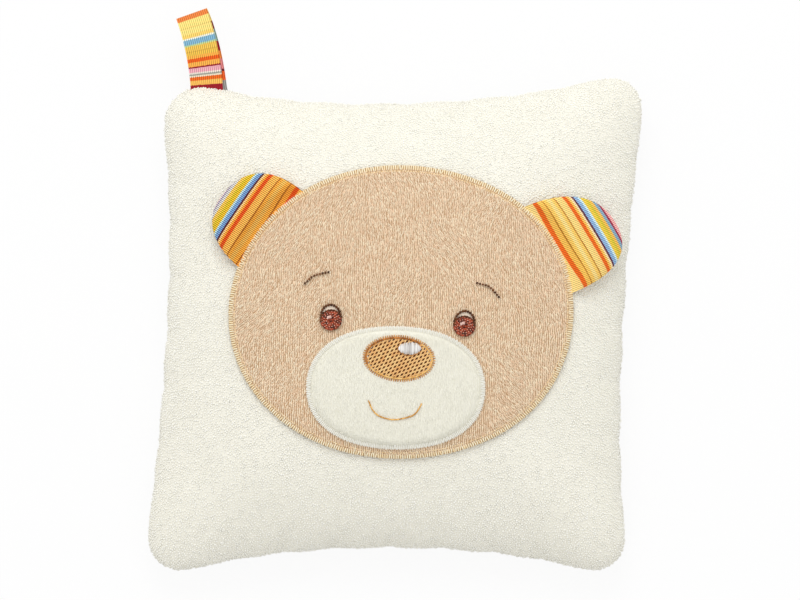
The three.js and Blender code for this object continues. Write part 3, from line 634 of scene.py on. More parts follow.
def sheet_object(name: str, top: Array, under: Array, cloth: Array | None = None) -> Object:
    """Makes a closed sheet between two grids of points.

    Args:
        name: The object's name.
        top: Upper grid, rows by columns by 3, in millimetres, anticlockwise as its top is seen.
        under: Lower grid of the same shape.
        cloth: Map of the cloth in millimetres, rows by columns by 2, kept in metres.

    Returns:
        The object.
    """
    rows, columns = top.shape[:2]
    count = rows * columns
    rim = list(range(columns - 1)) + [r * columns + columns - 1 for r in range(rows - 1)]
    rim += [count - 1 - c for c in range(columns - 1)] + [r * columns for r in range(rows - 1, 0, -1)]
    walls = [(b, a, a + count, b + count) for a, b in zip(rim, rim[1:] + rim[:1])]
    faces = grid_faces(rows, columns) + grid_faces(rows, columns, count, True) + walls
    obj = make_object(name, np.concatenate([top.reshape(-1, 3), under.reshape(-1, 3)]), faces)
    if cloth is not None:
        lay_map(obj.data, UV_CLOTH, np.concatenate([cloth.reshape(-1, 2)] * 2) * MM)
    return obj


def world_points(node: str) -> Array:
    """Returns a CAD node's vertices at rest, in millimetres."""
    obj = frame["nodes"][node]
    return np.array([obj.matrix_world @ v.co for v in obj.data.vertices]) / MM


def node_box(node: str) -> tuple[Array, Array]:
    """Returns the lowest and highest corner of a CAD node's box, in millimetres."""
    low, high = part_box(node)
    return np.array(low) / MM, np.array(high) / MM


def joint_of(body: Body) -> tuple[Array, Array]:
    """Returns the place, in millimetres, and the axis of the joint that moves a body."""
    joint = next(j for j in frame["joints"] if j["child"] == body.value)
    return np.array(joint["pos_m"]) / MM, np.array(joint["axis"])


def plan_map(obj: Object) -> None:
    """Gives a heavy piece a flat map from straight above.

    Args:
        obj: The piece.
    """
    points = np.empty(len(obj.data.vertices) * 3)
    obj.data.vertices.foreach_get("co", points)
    flat = points.reshape(-1, 3)[:, :2]
    low = flat.min(axis=0)
    lay_map(obj.data, UV_BAKE, (flat - low) / max((flat.max(axis=0) - low).max(), TINY))


def settle(
    obj: Object, finish: Finish, body: Body, nodes: Sequence[str] = (),
    bend: tuple[Vector, Vector] | None = None,
) -> Object:
    """Gives a finished piece its material and its place in the frame.

    Args:
        obj: The piece.
        finish: What it is made of.
        body: The body that it rides on.
        nodes: CAD nodes that it stands for.
        bend: Two places in metres that are not used; if given, the piece is kept where it stands, its
            transform baked in, and is not attached to its body.

    Returns:
        The piece.
    """
    obj.data.materials.clear()
    obj.data.materials.append(finish.material())
    if bend:
        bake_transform(obj)
    else:
        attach(obj, body.value)
    if nodes:
        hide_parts(*nodes)
    obj.data.calc_loop_triangles()
    log.info("%s: %d triangles on %s", obj.name, len(obj.data.loop_triangles), body.value)
    return obj


# Repeats


FLOAT, INTEGER, THING, PAINT = "NodeSocketFloat", "NodeSocketInt", "NodeSocketObject", "NodeSocketMaterial"
SHAPED = {"Shape": THING}
ENDING = {"Seed": INTEGER, "Material": PAINT}
CROWDING = 3.0
TUFT_SIZES, FIBRE_SIZES, STITCH_LENGTHS, LOOSE_SIZES = (0.8, 1.2), (0.7, 1.25), (0.92, 1.08), (0.92, 1.06)
DRIFT_SCALE, DRIFT_REACH = 38.0, 0.006
GATHER_HIGH, GATHER_LOW = 0.03, -0.04


def numbers(*labels: str) -> dict[str, str]:
    """Returns inputs that each take a plain number."""
    return dict.fromkeys(labels, FLOAT)


class Repeat:
    """A node group that lays one small shape many times over a surface, along a path or at points."""

    def __init__(self, name: str, inputs: dict[str, str]) -> None:
        """Starts the group.

        Args:
            name: The group's name.
            inputs: The kind of each input, by its label.
        """
        self.tree = bpy.data.node_groups.new(name, "GeometryNodeTree")
        self.tree.interface.new_socket("Geometry", in_out="INPUT", socket_type="NodeSocketGeometry")
        for label, kind in inputs.items():
            self.tree.interface.new_socket(label, in_out="INPUT", socket_type=kind)
        self.tree.interface.new_socket("Geometry", in_out="OUTPUT", socket_type="NodeSocketGeometry")
        self.graph = Graph(self.tree)
        self.given = self.graph.add("NodeGroupInput").outputs

    def random(self, low: object, high: object, shift: int, vector: bool = False) -> Socket:
        """Adds random values.

        Args:
            low: Least value.
            high: Greatest value.
            shift: Added to the group's seed, so that each use differs.
            vector: Whether the values are vectors.

        Returns:
            The values' socket.
        """
        seed = self.graph.math("ADD", self.given["Seed"], shift)
        inputs = {0: low, 1: high, 8: seed} if vector else {2: low, 3: high, 8: seed}
        kind = "FLOAT_VECTOR" if vector else "FLOAT"
        node = self.graph.add("FunctionNodeRandomValue", inputs, data_type=kind)
        return node.outputs[0 if vector else 1]

    def sized(self, label: str, limits: Pair) -> Socket:
        """Returns an input times a random share between limits."""
        return self.graph.math("MULTIPLY", self.given[label], self.random(*limits, 2))

    def tipped(self, least: Sequence, most: Sequence) -> Socket:
        """Returns random angles about X, Y and Z between limits."""
        return self.random(self.graph.vector(*least), self.graph.vector(*most), 1, True)

    def strewn(self) -> Node:
        """Strews points over the surface, thinned by its "pile" attribute.

        Returns:
            The node that gives the points, their normals and their rotations.
        """
        graph, given = self.graph, self.given
        dense = graph.math("DIVIDE", CROWDING, graph.math("MULTIPLY", given["Spacing"], given["Spacing"]))
        inputs = {
            "Mesh": given["Geometry"], "Distance Min": given["Spacing"], "Density Max": dense,
            "Density Factor": graph.named(PILE), "Seed": given["Seed"],
        }
        return graph.add("GeometryNodeDistributePointsOnFaces", inputs, distribute_method="POISSON")

    def toned(self, geometry: object, shift: int, domain: str) -> Socket:
        """Gives each strand, or whatever the domain counts as one, its own random tone."""
        inputs = {"Geometry": geometry, "Name": TONE, "Value": self.random(0.0, 1.0, shift)}
        return self.graph.add(STORE, inputs, data_type="FLOAT", domain=domain).outputs[0]

    def instances(self, points: object, rotation: object, scale: object) -> None:
        """Ends the group: lays the shape at each point, gives each its tone and its material.

        Args:
            points: Where the shape goes.
            rotation: How each is turned.
            scale: How large each is.
        """
        shape = self.graph.add("GeometryNodeObjectInfo", {"Object": self.given["Shape"]}).outputs["Geometry"]
        inputs = {"Points": points, "Instance": shape, "Rotation": rotation, "Scale": scale}
        laid = self.graph.add("GeometryNodeInstanceOnPoints", inputs).outputs[0]
        self.end(self.toned(laid, 7, "INSTANCE"))

    def end(self, geometry: Socket) -> None:
        """Makes the shapes real, sets the material and links the result.

        Args:
            geometry: The shapes.
        """
        real = self.graph.add("GeometryNodeRealizeInstances", {0: geometry}).outputs[0]
        inputs = {"Geometry": real, "Material": self.given["Material"]}
        painted = self.graph.add("GeometryNodeSetMaterial", inputs).outputs[0]
        self.graph.add("NodeGroupOutput", {0: painted})

    def grow(self, name: str, source: Object, **inputs: object) -> Object:
        """Runs the group over an object.

        Args:
            name: The new piece's name.
            source: What it grows on; it is left as it was.
            inputs: The group's inputs, with underscores for spaces.

        Returns:
            The grown piece, a plain mesh.
        """
        modifier = source.modifiers.new(name, "NODES")
        modifier.node_group = self.tree
        for item in self.tree.interface.items_tree:
            if item.in_out == "INPUT" and item.name.replace(" ", "_") in inputs:
                modifier[item.identifier] = inputs[item.name.replace(" ", "_")]
        mesh = evaluated(source)
        source.modifiers.remove(modifier)
        mesh.name = name
        return add_object(name, mesh)


def pile_repeat() -> Repeat:
    """Makes the group that stands tufts on a surface.

    Returns:
        The group.
    """
    group = Repeat("pile", SHAPED | numbers("Spacing", "Size", "Tilt") | ENDING)
    graph, tilt = group.graph, group.given["Tilt"]
    spots = group.strewn().outputs
    back = graph.math("MULTIPLY", tilt, -1.0)
    lean = group.tipped((back, back, 0.0), (tilt, tilt, math.tau))
    group.instances(spots["Points"], graph.turned(spots["Rotation"], lean), group.sized("Size", TUFT_SIZES))
    return group


def nap_repeat() -> Repeat:
    """Makes the group that combs fibres over a surface, towards a direction that wanders, in columns.

    Returns:
        The group.
    """
    labels = "Spacing", "Size", "Comb", "Turn", "Wander", "Ruffle", "Column", "Gather", "Gather Low"
    group = Repeat("nap", SHAPED | numbers(*labels) | ENDING)
    graph, given = group.graph, group.given
    spots = group.strewn().outputs
    place = graph.add("GeometryNodeInputPosition").outputs[0]
    inputs = {"Vector": place, "Scale": DRIFT_SCALE, "Detail": 1.0}
    drift = graph.math("SUBTRACT", graph.add("ShaderNodeTexNoise", inputs).outputs[0], 0.5)
    across, upward, _ = graph.add("ShaderNodeSeparateXYZ", {0: place}).outputs
    wavy = graph.math("ADD", across, graph.math("MULTIPLY", drift, DRIFT_REACH))
    half = graph.math("MULTIPLY", given["Column"], 0.5)
    column = graph.math("ADD", graph.math("SNAP", wavy, given["Column"]), half)
    inputs = {"Value": upward, 1: GATHER_HIGH, 2: GATHER_LOW, 3: given["Gather"], 4: given["Gather Low"]}
    gather = graph.add("ShaderNodeMapRange", inputs).outputs[0]
    nudge = graph.math("MULTIPLY", graph.math("SUBTRACT", column, wavy), gather)
    inputs = {"Geometry": spots["Points"], "Offset": graph.vector(nudge, 0.0, 0.0)}
    gathered = graph.add("GeometryNodeSetPosition", inputs).outputs[0]
    swing = graph.math("ADD", graph.math("MULTIPLY", drift, given["Wander"]), given["Comb"])
    bearing = graph.math("ADD", swing, graph.math("MULTIPLY", across, given["Turn"]))
    course = graph.vector(graph.math("COSINE", bearing), graph.math("SINE", bearing), 0.0)
    ruffle = given["Ruffle"]
    back = graph.math("MULTIPLY", ruffle, -1.0)
    loose = group.tipped((back, back, back), (ruffle, 0.0, ruffle))
    turned = graph.turned(graph.aimed(spots["Normal"], course), loose)
    group.instances(gathered, turned, group.sized("Size", FIBRE_SIZES))
    return group


def stitch_repeat() -> Repeat:
    """Makes the group that sews stitches along paths, upright to their "up" and as long as their "span".

    Returns:
        The group.
    """
    labels = "Pitch", "Length", "Thread", "Turn", "Sway", "Jitter"
    group = Repeat("stitches", SHAPED | numbers(*labels) | ENDING)
    graph, given = group.graph, group.given
    curve = graph.add("GeometryNodeMeshToCurve", {0: given["Geometry"]}).outputs[0]
    inputs = {"Curve": curve, "Length": given["Pitch"]}
    spots = graph.add("GeometryNodeResampleCurve", inputs, mode="LENGTH").outputs[0]
    course = graph.add("GeometryNodeInputTangent").outputs[0]
    odd = graph.math("MODULO", graph.add("GeometryNodeInputIndex").outputs[0], 2.0)
    twice = graph.math("MULTIPLY", given["Sway"], 2.0)
    sway = graph.math("MULTIPLY", graph.math("SUBTRACT", odd, 0.5), twice)
    loose = group.random(graph.math("MULTIPLY", given["Jitter"], -1.0), given["Jitter"], 1)
    angle = graph.math("ADD", graph.math("ADD", given["Turn"], sway), loose)
    along = graph.aimed(graph.named(UP, "FLOAT_VECTOR"), course)
    spanned = graph.math("MULTIPLY", given["Length"], graph.named(SPAN))
    length = graph.math("MULTIPLY", spanned, group.random(*STITCH_LENGTHS, 2))
    size = graph.vector(length, given["Thread"], given["Thread"])
    group.instances(spots, graph.turned(along, graph.vector(0.0, 0.0, angle)), size)
    return group


def thread_repeat() -> Repeat:
    """Makes the group that runs a round thread along paths.

    Returns:
        The group.
    """
    group = Repeat("threads", numbers("Thread") | {"Sides": INTEGER} | ENDING)
    graph, given = group.graph, group.given
    curve = graph.add("GeometryNodeMeshToCurve", {0: given["Geometry"]}).outputs[0]
    inputs = {"Resolution": given["Sides"], "Radius": graph.math("MULTIPLY", given["Thread"], 0.5)}
    ring = graph.add("GeometryNodeCurvePrimitiveCircle", inputs).outputs[0]
    inputs = {"Curve": group.toned(curve, 3, "CURVE"), "Profile Curve": ring, "Fill Caps": True}
    group.end(graph.add("GeometryNodeCurveToMesh", inputs).outputs[0])
    return group


def scatter_repeat() -> Repeat:
    """Makes the group that lays a shape at a mesh's points, each turned at random within limits.

    Returns:
        The group.
    """
    group = Repeat("scatter", SHAPED | numbers("Size", "Spin", "Tip") | ENDING)
    graph, tip = group.graph, group.given["Tip"]
    less = graph.math("MULTIPLY", tip, -1.0)
    angles = group.tipped((less, less, 0.0), (tip, tip, group.given["Spin"]))
    turned = graph.add("FunctionNodeEulerToRotation", {0: angles}).outputs[0]
    group.instances(group.given["Geometry"], turned, group.sized("Size", LOOSE_SIZES))
    return group


class Workshop:
    """The node groups and small shapes that the pieces share."""

    tuft_rings = ((0.0, 0.5, 0.0), (0.3, 0.42, 0.05))
    hook_rings = ((0.0, 0.16, 0.0), (0.7, 0.13, 0.0), (1.1, 0.14, 0.22))
    tip_rise = 0.45
    stitch_rings = ((-0.44, 0.34), (-0.2, 0.5), (0.2, 0.5), (0.44, 0.34))
    stitch_arch = (0.4, 1.6)
    stitch_end = (0.5, -0.1)
    stone_size = (4.6, 3.7, 4.1)
    stone_ridge = (0.07, 0.2)

    def __init__(self) -> None:
        """Makes every group and shape."""
        self.pile = pile_repeat()
        self.nap = nap_repeat()
        self.stitches = stitch_repeat()
        self.threads = thread_repeat()
        self.scatter = scatter_repeat()
        self.tuft = self.lathe("shape_tuft", self.tuft_rings, sides=4, lean=0.12)
        self.fibre = self.spike("shape_fibre", length=1.9, radius=0.21, rise=0.26)
        self.stitch = self.bead("shape_stitch", sides=6)
        self.stone = self.pebble("shape_stone")
        self.hook = self.lathe("shape_hook", self.hook_rings, sides=4, lean=0.5)

    def lathe(
        self, name: str, rings: Sequence[tuple[float, float, float]], sides: int, lean: float
    ) -> Object:
        """Makes a small closed nub of rings and a tip.

        Args:
            name: The shape's name.
            rings: Height, radius and sideways shift of each ring, from the foot up.
            sides: Points round each ring.
            lean: Sideways shift of the tip.

        Returns:
            The shape, standing on the origin.
        """
        points = []
        for height, radius, shift in rings:
            for side in range(sides):
                angle = math.tau * side / sides
                points.append((radius * math.cos(angle) + shift, radius * math.sin(angle), height))
        points.append((lean, 0.0, rings[-1][0] + rings[-1][1] * self.tip_rise))
        faces = [tuple(range(sides))[::-1], *ring_faces(len(rings), sides)]
        last = (len(rings) - 1) * sides
        for side in range(sides):
            faces.append((last + side, last + (side + 1) % sides, len(points) - 1))
        return make_object(name, np.array(points), faces)

    @staticmethod
    def spike(name: str, length: float, radius: float, rise: float) -> Object:
        """Makes one lying lock of fibres, from the origin along +X.

        Args:
            name: The shape's name.
            length: How far it reaches.
            radius: Half its width at the foot.
            rise: Height of its hump; its tip is somewhat lower.

        Returns:
            The shape.
        """
        points = [(0, radius, 0), (0, -radius, 0), (0.3 * length, 0, rise), (length, 0, 0.6 * rise)]
        faces = [(0, 1, 2), (1, 3, 2), (3, 0, 2), (1, 0, 3)]
        shape = make_object(name, np.array(points), faces)
        shape.data.shade_flat()
        return shape

    def bead(self, name: str, sides: int) -> Object:
        """Makes one arched stitch, a metre long along X and a metre thick, to be scaled down.

        Args:
            name: The shape's name.
            sides: Points round the thread.

        Returns:
            The shape.
        """
        points = []
        for along, radius in self.stitch_rings:
            arch = self.stitch_arch[0] - self.stitch_arch[1] * along * along
            for side in range(sides):
                angle = math.tau * side / sides
                points.append((along, radius * math.cos(angle), radius * math.sin(angle) + arch))
        faces = ring_faces(len(self.stitch_rings), sides)
        reach, low = self.stitch_end
        points += [(-reach, 0.0, low), (reach, 0.0, low)]
        last = (len(self.stitch_rings) - 1) * sides
        for side in range(sides):
            after = (side + 1) % sides
            faces.append((after, side, len(points) - 2))
            faces.append((last + side, last + after, len(points) - 1))
        return make_object(name, np.array(points) / MM, faces)

    def pebble(self, name: str) -> Object:
        """Makes one cherry stone: a slightly flat egg with a ridge along its seam.

        Args:
            name: The shape's name.

        Returns:
            The shape.
        """
        shape = bmesh.new()
        bmesh.ops.create_uvsphere(shape, u_segments=8, v_segments=6, radius=1.0)
        points = np.array([v.co for v in shape.verts])
        height, width = self.stone_ridge
        ridge = 1 + height * np.exp(-((points[:, 1] / width) ** 2))
        points = points * ridge[:, None] * np.array(self.stone_size)
        faces = [tuple(v.index for v in f.verts) for f in shape.faces]
        shape.free()
        return make_object(name, points, faces)

    def sew(
        self, name: str, path: Object, stitch: Stitch, body: Body, nodes: Sequence[str] = (),
        bend: tuple[Vector, Vector] | None = None,
    ) -> None:
        """Sews stitches along a path, which is then removed, and settles them.

        Args:
            name: The piece's name.
            path: Loose edges with "up" and "span".
            stitch: How they are sewn.
            body: The body that they ride on.
            nodes: CAD nodes that they stand for.
            bend: Two places in metres that are not used; if given, the stitches are kept where they stand and
                are not attached to their body.
        """
        obj = self.stitches.grow(
            name, path, Shape=self.stitch, Pitch=stitch.pitch * MM, Length=stitch.length * MM,
            Thread=stitch.thread * MM, Turn=math.radians(stitch.turn), Sway=math.radians(stitch.sway),
            Jitter=stitch.jitter, Seed=stitch.seed, Material=stitch.finish.material(),
        )
        drop(path)
        plan_map(obj)
        settle(obj, stitch.finish, body, nodes, bend)

    def strew(self, name: str, points: Array, shape: Object, finish: Finish, **inputs: object) -> Object:
        """Lays a small shape at points.

        Args:
            name: The piece's name.
            points: Where it goes, in millimetres.
            shape: The small shape.
            finish: What it is made of.
            inputs: The group's other inputs.

        Returns:
            The piece.
        """
        base = make_object("points", points, ())
        obj = self.scatter.grow(name, base, Shape=shape, Material=finish.material(), **inputs)
        drop(base)
        return obj

    def close(self) -> None:
        """Removes the small shapes once everything is grown."""
        for shape in (self.tuft, self.fibre, self.stitch, self.stone, self.hook):
            drop(shape)


def path_object(
    points: Array | list[Array], closed: bool, up: Array | None = None, span: Array | None = None,
) -> Object:
    """Makes loose edges along a path, for stitches or thread to follow.

    Args:
        points: The path in millimetres, or a list of several paths.
        closed: Whether it comes back to its start.
        up: Direction away from the cloth at each point; straight up if left out.
        span: Share of a stitch's length at each point; all of it if left out.

    Returns:
        The path.
    """
    lines = points if isinstance(points, list) else [points]
    edges, first = [], 0
    for line in lines:
        edges += [(first + i, first + i + 1) for i in range(len(line) - 1)]
        if closed:
            edges.append((first + len(line) - 1, first))
        first += len(line)
    obj = make_object("path", np.concatenate(lines), (), edges)
    ups = np.tile([0.0, 0.0, 1.0], (first, 1)) if up is None else np.asarray(up, float)
    obj.data.attributes.new(UP, "FLOAT_VECTOR", "POINT").data.foreach_set("vector", ups.ravel())
    spans = np.ones(first) if span is None else np.asarray(span, float)
    obj.data.attributes.new(SPAN, "FLOAT", "POINT").data.foreach_set("value", spans)
    return obj


# Shapes in plan


def smooth(share: Array | float) -> Array:
    """Eases a share from 0 to 1."""
    t = np.clip(share, 0.0, 1.0)
    return t * t * (3 - 2 * t)


def disc_grid(count: int, crowding: float = 1.0) -> tuple[Array, Array]:
    """Maps a square grid onto a disc.

    Args:
        count: Points along each side of the grid.
        crowding: How much closer the points lie towards the edge; 1 for not at all.

    Returns:
        Share of the radius and angle at each point, both count by count.
    """
    line = np.linspace(-1, 1, count)
    a, b = np.meshgrid(line, line)
    x, y = a * np.sqrt(1 - b * b / 2), b * np.sqrt(1 - a * a / 2)
    share = np.minimum(np.hypot(x, y), 1.0)
    return share if crowding == 1.0 else 1 - (1 - share) ** crowding, np.arctan2(y, x)


def lifted(x: Array, y: Array, z: Array | float) -> Array:
    """Joins places in plan and their heights, in the last axis."""
    return np.stack(np.broadcast_arrays(x, y, z), axis=-1)


@dataclass(frozen=True)
class Oval:
    """An oval patch in plan, in millimetres, turned by degrees."""

    centre: Pair
    size: Pair
    turn: float = 0.0
    waves: tuple[Pair, ...] = ()

    def swell(self, angle: Array) -> Array:
        """Returns how far the outline bulges past a true oval in each direction."""
        waves = enumerate(self.waves, 1)
        return 1 + sum(a * np.cos(n * angle) + b * np.sin(n * angle) for n, (a, b) in waves)

    def shrunk(self, by: float) -> "Oval":
        """Returns the oval that lies so far inside this one."""
        return replace(self, size=(self.size[0] - 2 * by, self.size[1] - 2 * by))

    def spots(self, share: Array, angle: Array) -> Array:
        """Finds points by share of the radius and angle.

        Args:
            share: 0 at the middle and 1 on the outline.
            angle: Radians from the oval's own X.

        Returns:
            X and Y in the last axis.
        """
        reach = share * self.swell(angle)
        x, y = reach * np.cos(angle) * self.size[0] / 2, reach * np.sin(angle) * self.size[1] / 2
        c, s = math.cos(math.radians(self.turn)), math.sin(math.radians(self.turn))
        return np.stack([self.centre[0] + c * x - s * y, self.centre[1] + s * x + c * y], axis=-1)

    def ring(self, count: int, share: float = 1.0, start: float = 0.0) -> Array:
        """Returns points round the outline or a share of it, anticlockwise from a start in radians."""
        angle = np.linspace(start, start + math.tau, count, endpoint=False)
        return self.spots(np.full(count, share), angle)

    def arc(self, start: float, end: float, count: int, share: float = 1.0) -> Array:
        """Returns points along the outline or a share of it, between two angles in degrees."""
        return self.spots(np.full(count, share), np.radians(np.linspace(start, end, count)))

    def share(self, spots: Array) -> Array:
        """Finds how far out points lie.

        Args:
            spots: X and Y in the last axis.

        Returns:
            0 at the middle, 1 on the outline.
        """
        x, y = spots[..., 0] - self.centre[0], spots[..., 1] - self.centre[1]
        c, s = math.cos(math.radians(self.turn)), math.sin(math.radians(self.turn))
        across, along = (c * x + s * y) * 2 / self.size[0], (c * y - s * x) * 2 / self.size[1]
        return np.hypot(across, along) / self.swell(np.arctan2(along, across))


def curve_through(knots: Sequence[Pair], count: int) -> Array:
    """Runs a smooth line through a few points.

    Args:
        knots: The points, X and Y.
        count: Points along the line.

    Returns:
        The line's points.
    """
    given = np.array(knots, float)
    p = np.concatenate([[2 * given[0] - given[1]], given, [2 * given[-1] - given[-2]]])
    line = []
    for t in np.linspace(0, len(knots) - 1 - TINY, count):
        i, f = int(t), t - int(t)
        a, b, c, d = p[i : i + 4]
        bend = (2 * a - 5 * b + 4 * c - d) * f * f + (3 * b - a - 3 * c + d) * f**3
        line.append(0.5 * (2 * b + (c - a) * f + bend))
    return np.array(line)


# The cover


@dataclass
class Cover:
    """The cream plush cover: the front with its pile, and what the other pieces ask of it."""

    shop: Workshop
    face: Oval
    grid: int = 129
    crowding: float = 1.4
    pile: float = 0.9
    cloth: float = 1.2
    shape: Pair = (2.4, 0.6)
    curl: float = 24.0
    hem: float = 0.6
    fill: float = 0.8
    bare: float = 0.985
    lump_size: float = 42.0
    lump_slice: float = 0.3
    lump_height: float = 0.7
    lump_fade: float = 0.12
    tuft_spacing: float = 0.78
    back_spacing: float = 1.3
    tuft_size: Pair = (1.12, 0.95)
    tuft_tilt: float = 0.3
    sky: float = 200.0
    outline: tuple[Array, Array] = field(init=False)
    round_reach: float = field(init=False)
    seam: float = field(init=False)
    top: float = field(init=False)
    ground: BVHTree = field(init=False)

    def __post_init__(self) -> None:
        """Reads the outline and the heights from the frame."""
        low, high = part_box("front_panel")
        self.seam, self.top = low[2] / MM, high[2] / MM
        self.round_reach = (high[0] - low[0] + high[1] - low[1]) / 4 / MM
        rim = world_points("front_panel")
        reach: dict[float, float] = {}
        for x, y, _ in rim[rim[:, 2] < self.seam + AT_SEAM]:
            angle = round(math.atan2(y, x), 3)
            reach[angle] = max(reach.get(angle, 0.0), math.hypot(x, y))
        angles = np.array(sorted(reach))
        self.outline = angles, np.array([reach[a] for a in angles])

    def reach(self, angle: Array) -> Array:
        """Returns the seam's distance from the middle, in each direction."""
        return np.interp(angle, *self.outline, period=math.tau)

    def spread(self, share: Array, angle: Array, inset: float) -> tuple[Array, Array]:
        """Finds points in plan that are round near the middle and follow the seam at the edge.

        Args:
            share: 0 at the middle and 1 at the seam.
            angle: Direction from the middle.
            inset: How far inside the seam the edge lies.

        Returns:
            X and Y.
        """
        rim = self.reach(angle) - inset
        near = self.round_reach - inset
        radius = share * (near + (rim - near) * share * share)
        return radius * np.cos(angle), radius * np.sin(angle)

    def front(self) -> None:
        """Builds the domed front and its pile."""
        share, angle = disc_grid(self.grid, self.crowding)
        x, y = self.spread(share, angle, self.pile)
        dome = np.clip(1 - share ** self.shape[0], 0, 1) ** self.shape[1]
        z = self.seam + (self.top - self.pile - self.seam) * dome
        z = z + self.rumple(x, y) * smooth((1 - share) / self.lump_fade)
        top = lifted(x, y, z)
        inward = 1 - self.cloth / self.round_reach * np.array([1, 1, 0])
        under = top * inward - np.array([0, 0, self.cloth])
        under[..., 2] = np.maximum(under[..., 2], self.seam - self.hem)
        panel = sheet_object("front_panel_cloth", top, under)
        points = [Vector(p) for p in top.reshape(-1, 3)]
        self.ground = BVHTree.FromPolygons(points, grid_faces(self.grid, self.grid))
        mask = np.where(self.face.share(np.stack([x, y], axis=-1)) < self.bare, 0.0, 1.0)
        self.mask(panel, np.concatenate([mask.ravel(), np.zeros(mask.size)]))
        tufts = self.tufts("front_pile", panel, self.tuft_spacing, seed=3)
        settle(panel, CREAM_CLOTH, Body.COVER, ["front_panel"])
        self.halves(tufts)

    def rumple(self, x: Array, y: Array) -> Array:
        """Finds the soft unevenness of the filled front.

        Args:
            x: Places across.
            y: Places along.

        Returns:
            Heights in millimetres.
        """
        places = zip(x.ravel() / self.lump_size, y.ravel() / self.lump_size)
        lumps = np.array([noise.noise(Vector((a, b, self.lump_slice))) for a, b in places])
        return self.lump_height * lumps.reshape(x.shape)

    @staticmethod
    def mask(obj: Object, values: Array) -> None:
        """Says where a surface grows pile, point by point."""
        layer = obj.data.attributes.new(PILE, "FLOAT", "POINT")
        layer.data.foreach_set("value", values.astype(float))

    def tufts(self, name: str, obj: Object, spacing: float, seed: int) -> Object:
        """Grows pile on a surface.

        Args:
            name: The pile's name.
            obj: The cloth.
            spacing: Least distance between tufts.
            seed: Seed of what is random.

        Returns:
            The pile.
        """
        pile = self.shop.pile.grow(
            name, obj, Shape=self.shop.tuft, Spacing=spacing * MM,
            Size=self.tuft_size[0] * spacing / self.tuft_size[1], Tilt=self.tuft_tilt, Seed=seed,
            Material=CREAM_PILE.material(),
        )
        plan_map(pile)
        return pile

    def halves(self, pile: Object) -> None:
        """Splits the front's pile across the middle and settles both halves.

        Args:
            pile: The whole pile, which is removed.
        """
        size = len(self.shop.tuft.data.vertices)
        for name, keep_upper in (("front_pile_upper", True), ("front_pile_lower", False)):
            shape = bmesh.new()
            shape.from_mesh(pile.data)
            shape.verts.ensure_lookup_table()
            gone = []
            for first in range(0, len(shape.verts), size):
                group = shape.verts[first : first + size]
                if (group[0].co.y >= 0) != keep_upper:
                    gone += group
            bmesh.ops.delete(shape, geom=gone, context="VERTS")
            settle(from_bmesh(name, shape), CREAM_PILE, Body.COVER)
        drop(pile)

    def hits(self, spots: Array) -> list[tuple]:
        """Returns the place and the direction outwards that each point in plan meets on the front."""
        down, flat = Vector((0, 0, -1)), spots.reshape(-1, 2)
        return [self.ground.ray_cast(Vector((x, y, self.sky)), down)[:2] for x, y in flat]

    def lay(self, spots: Array, lift: Array | float) -> Array:
        """Lifts points in plan onto the front.

        Args:
            spots: X and Y in the last axis.
            lift: Height above the pile's tips.

        Returns:
            X, Y and Z in the last axis.
        """
        heights = [place.z if place else self.seam for place, _ in self.hits(spots)]
        z = np.array(heights).reshape(spots.shape[:-1]) + self.pile + lift
        return np.concatenate([spots, z[..., None]], axis=-1)

    def up(self, spots: Array) -> Array:
        """Returns the front's direction outwards at points in plan."""
        ways = [way if way else (0, 0, 1) for _, way in self.hits(spots)]
        return np.array(ways).reshape(*spots.shape[:-1], 3)


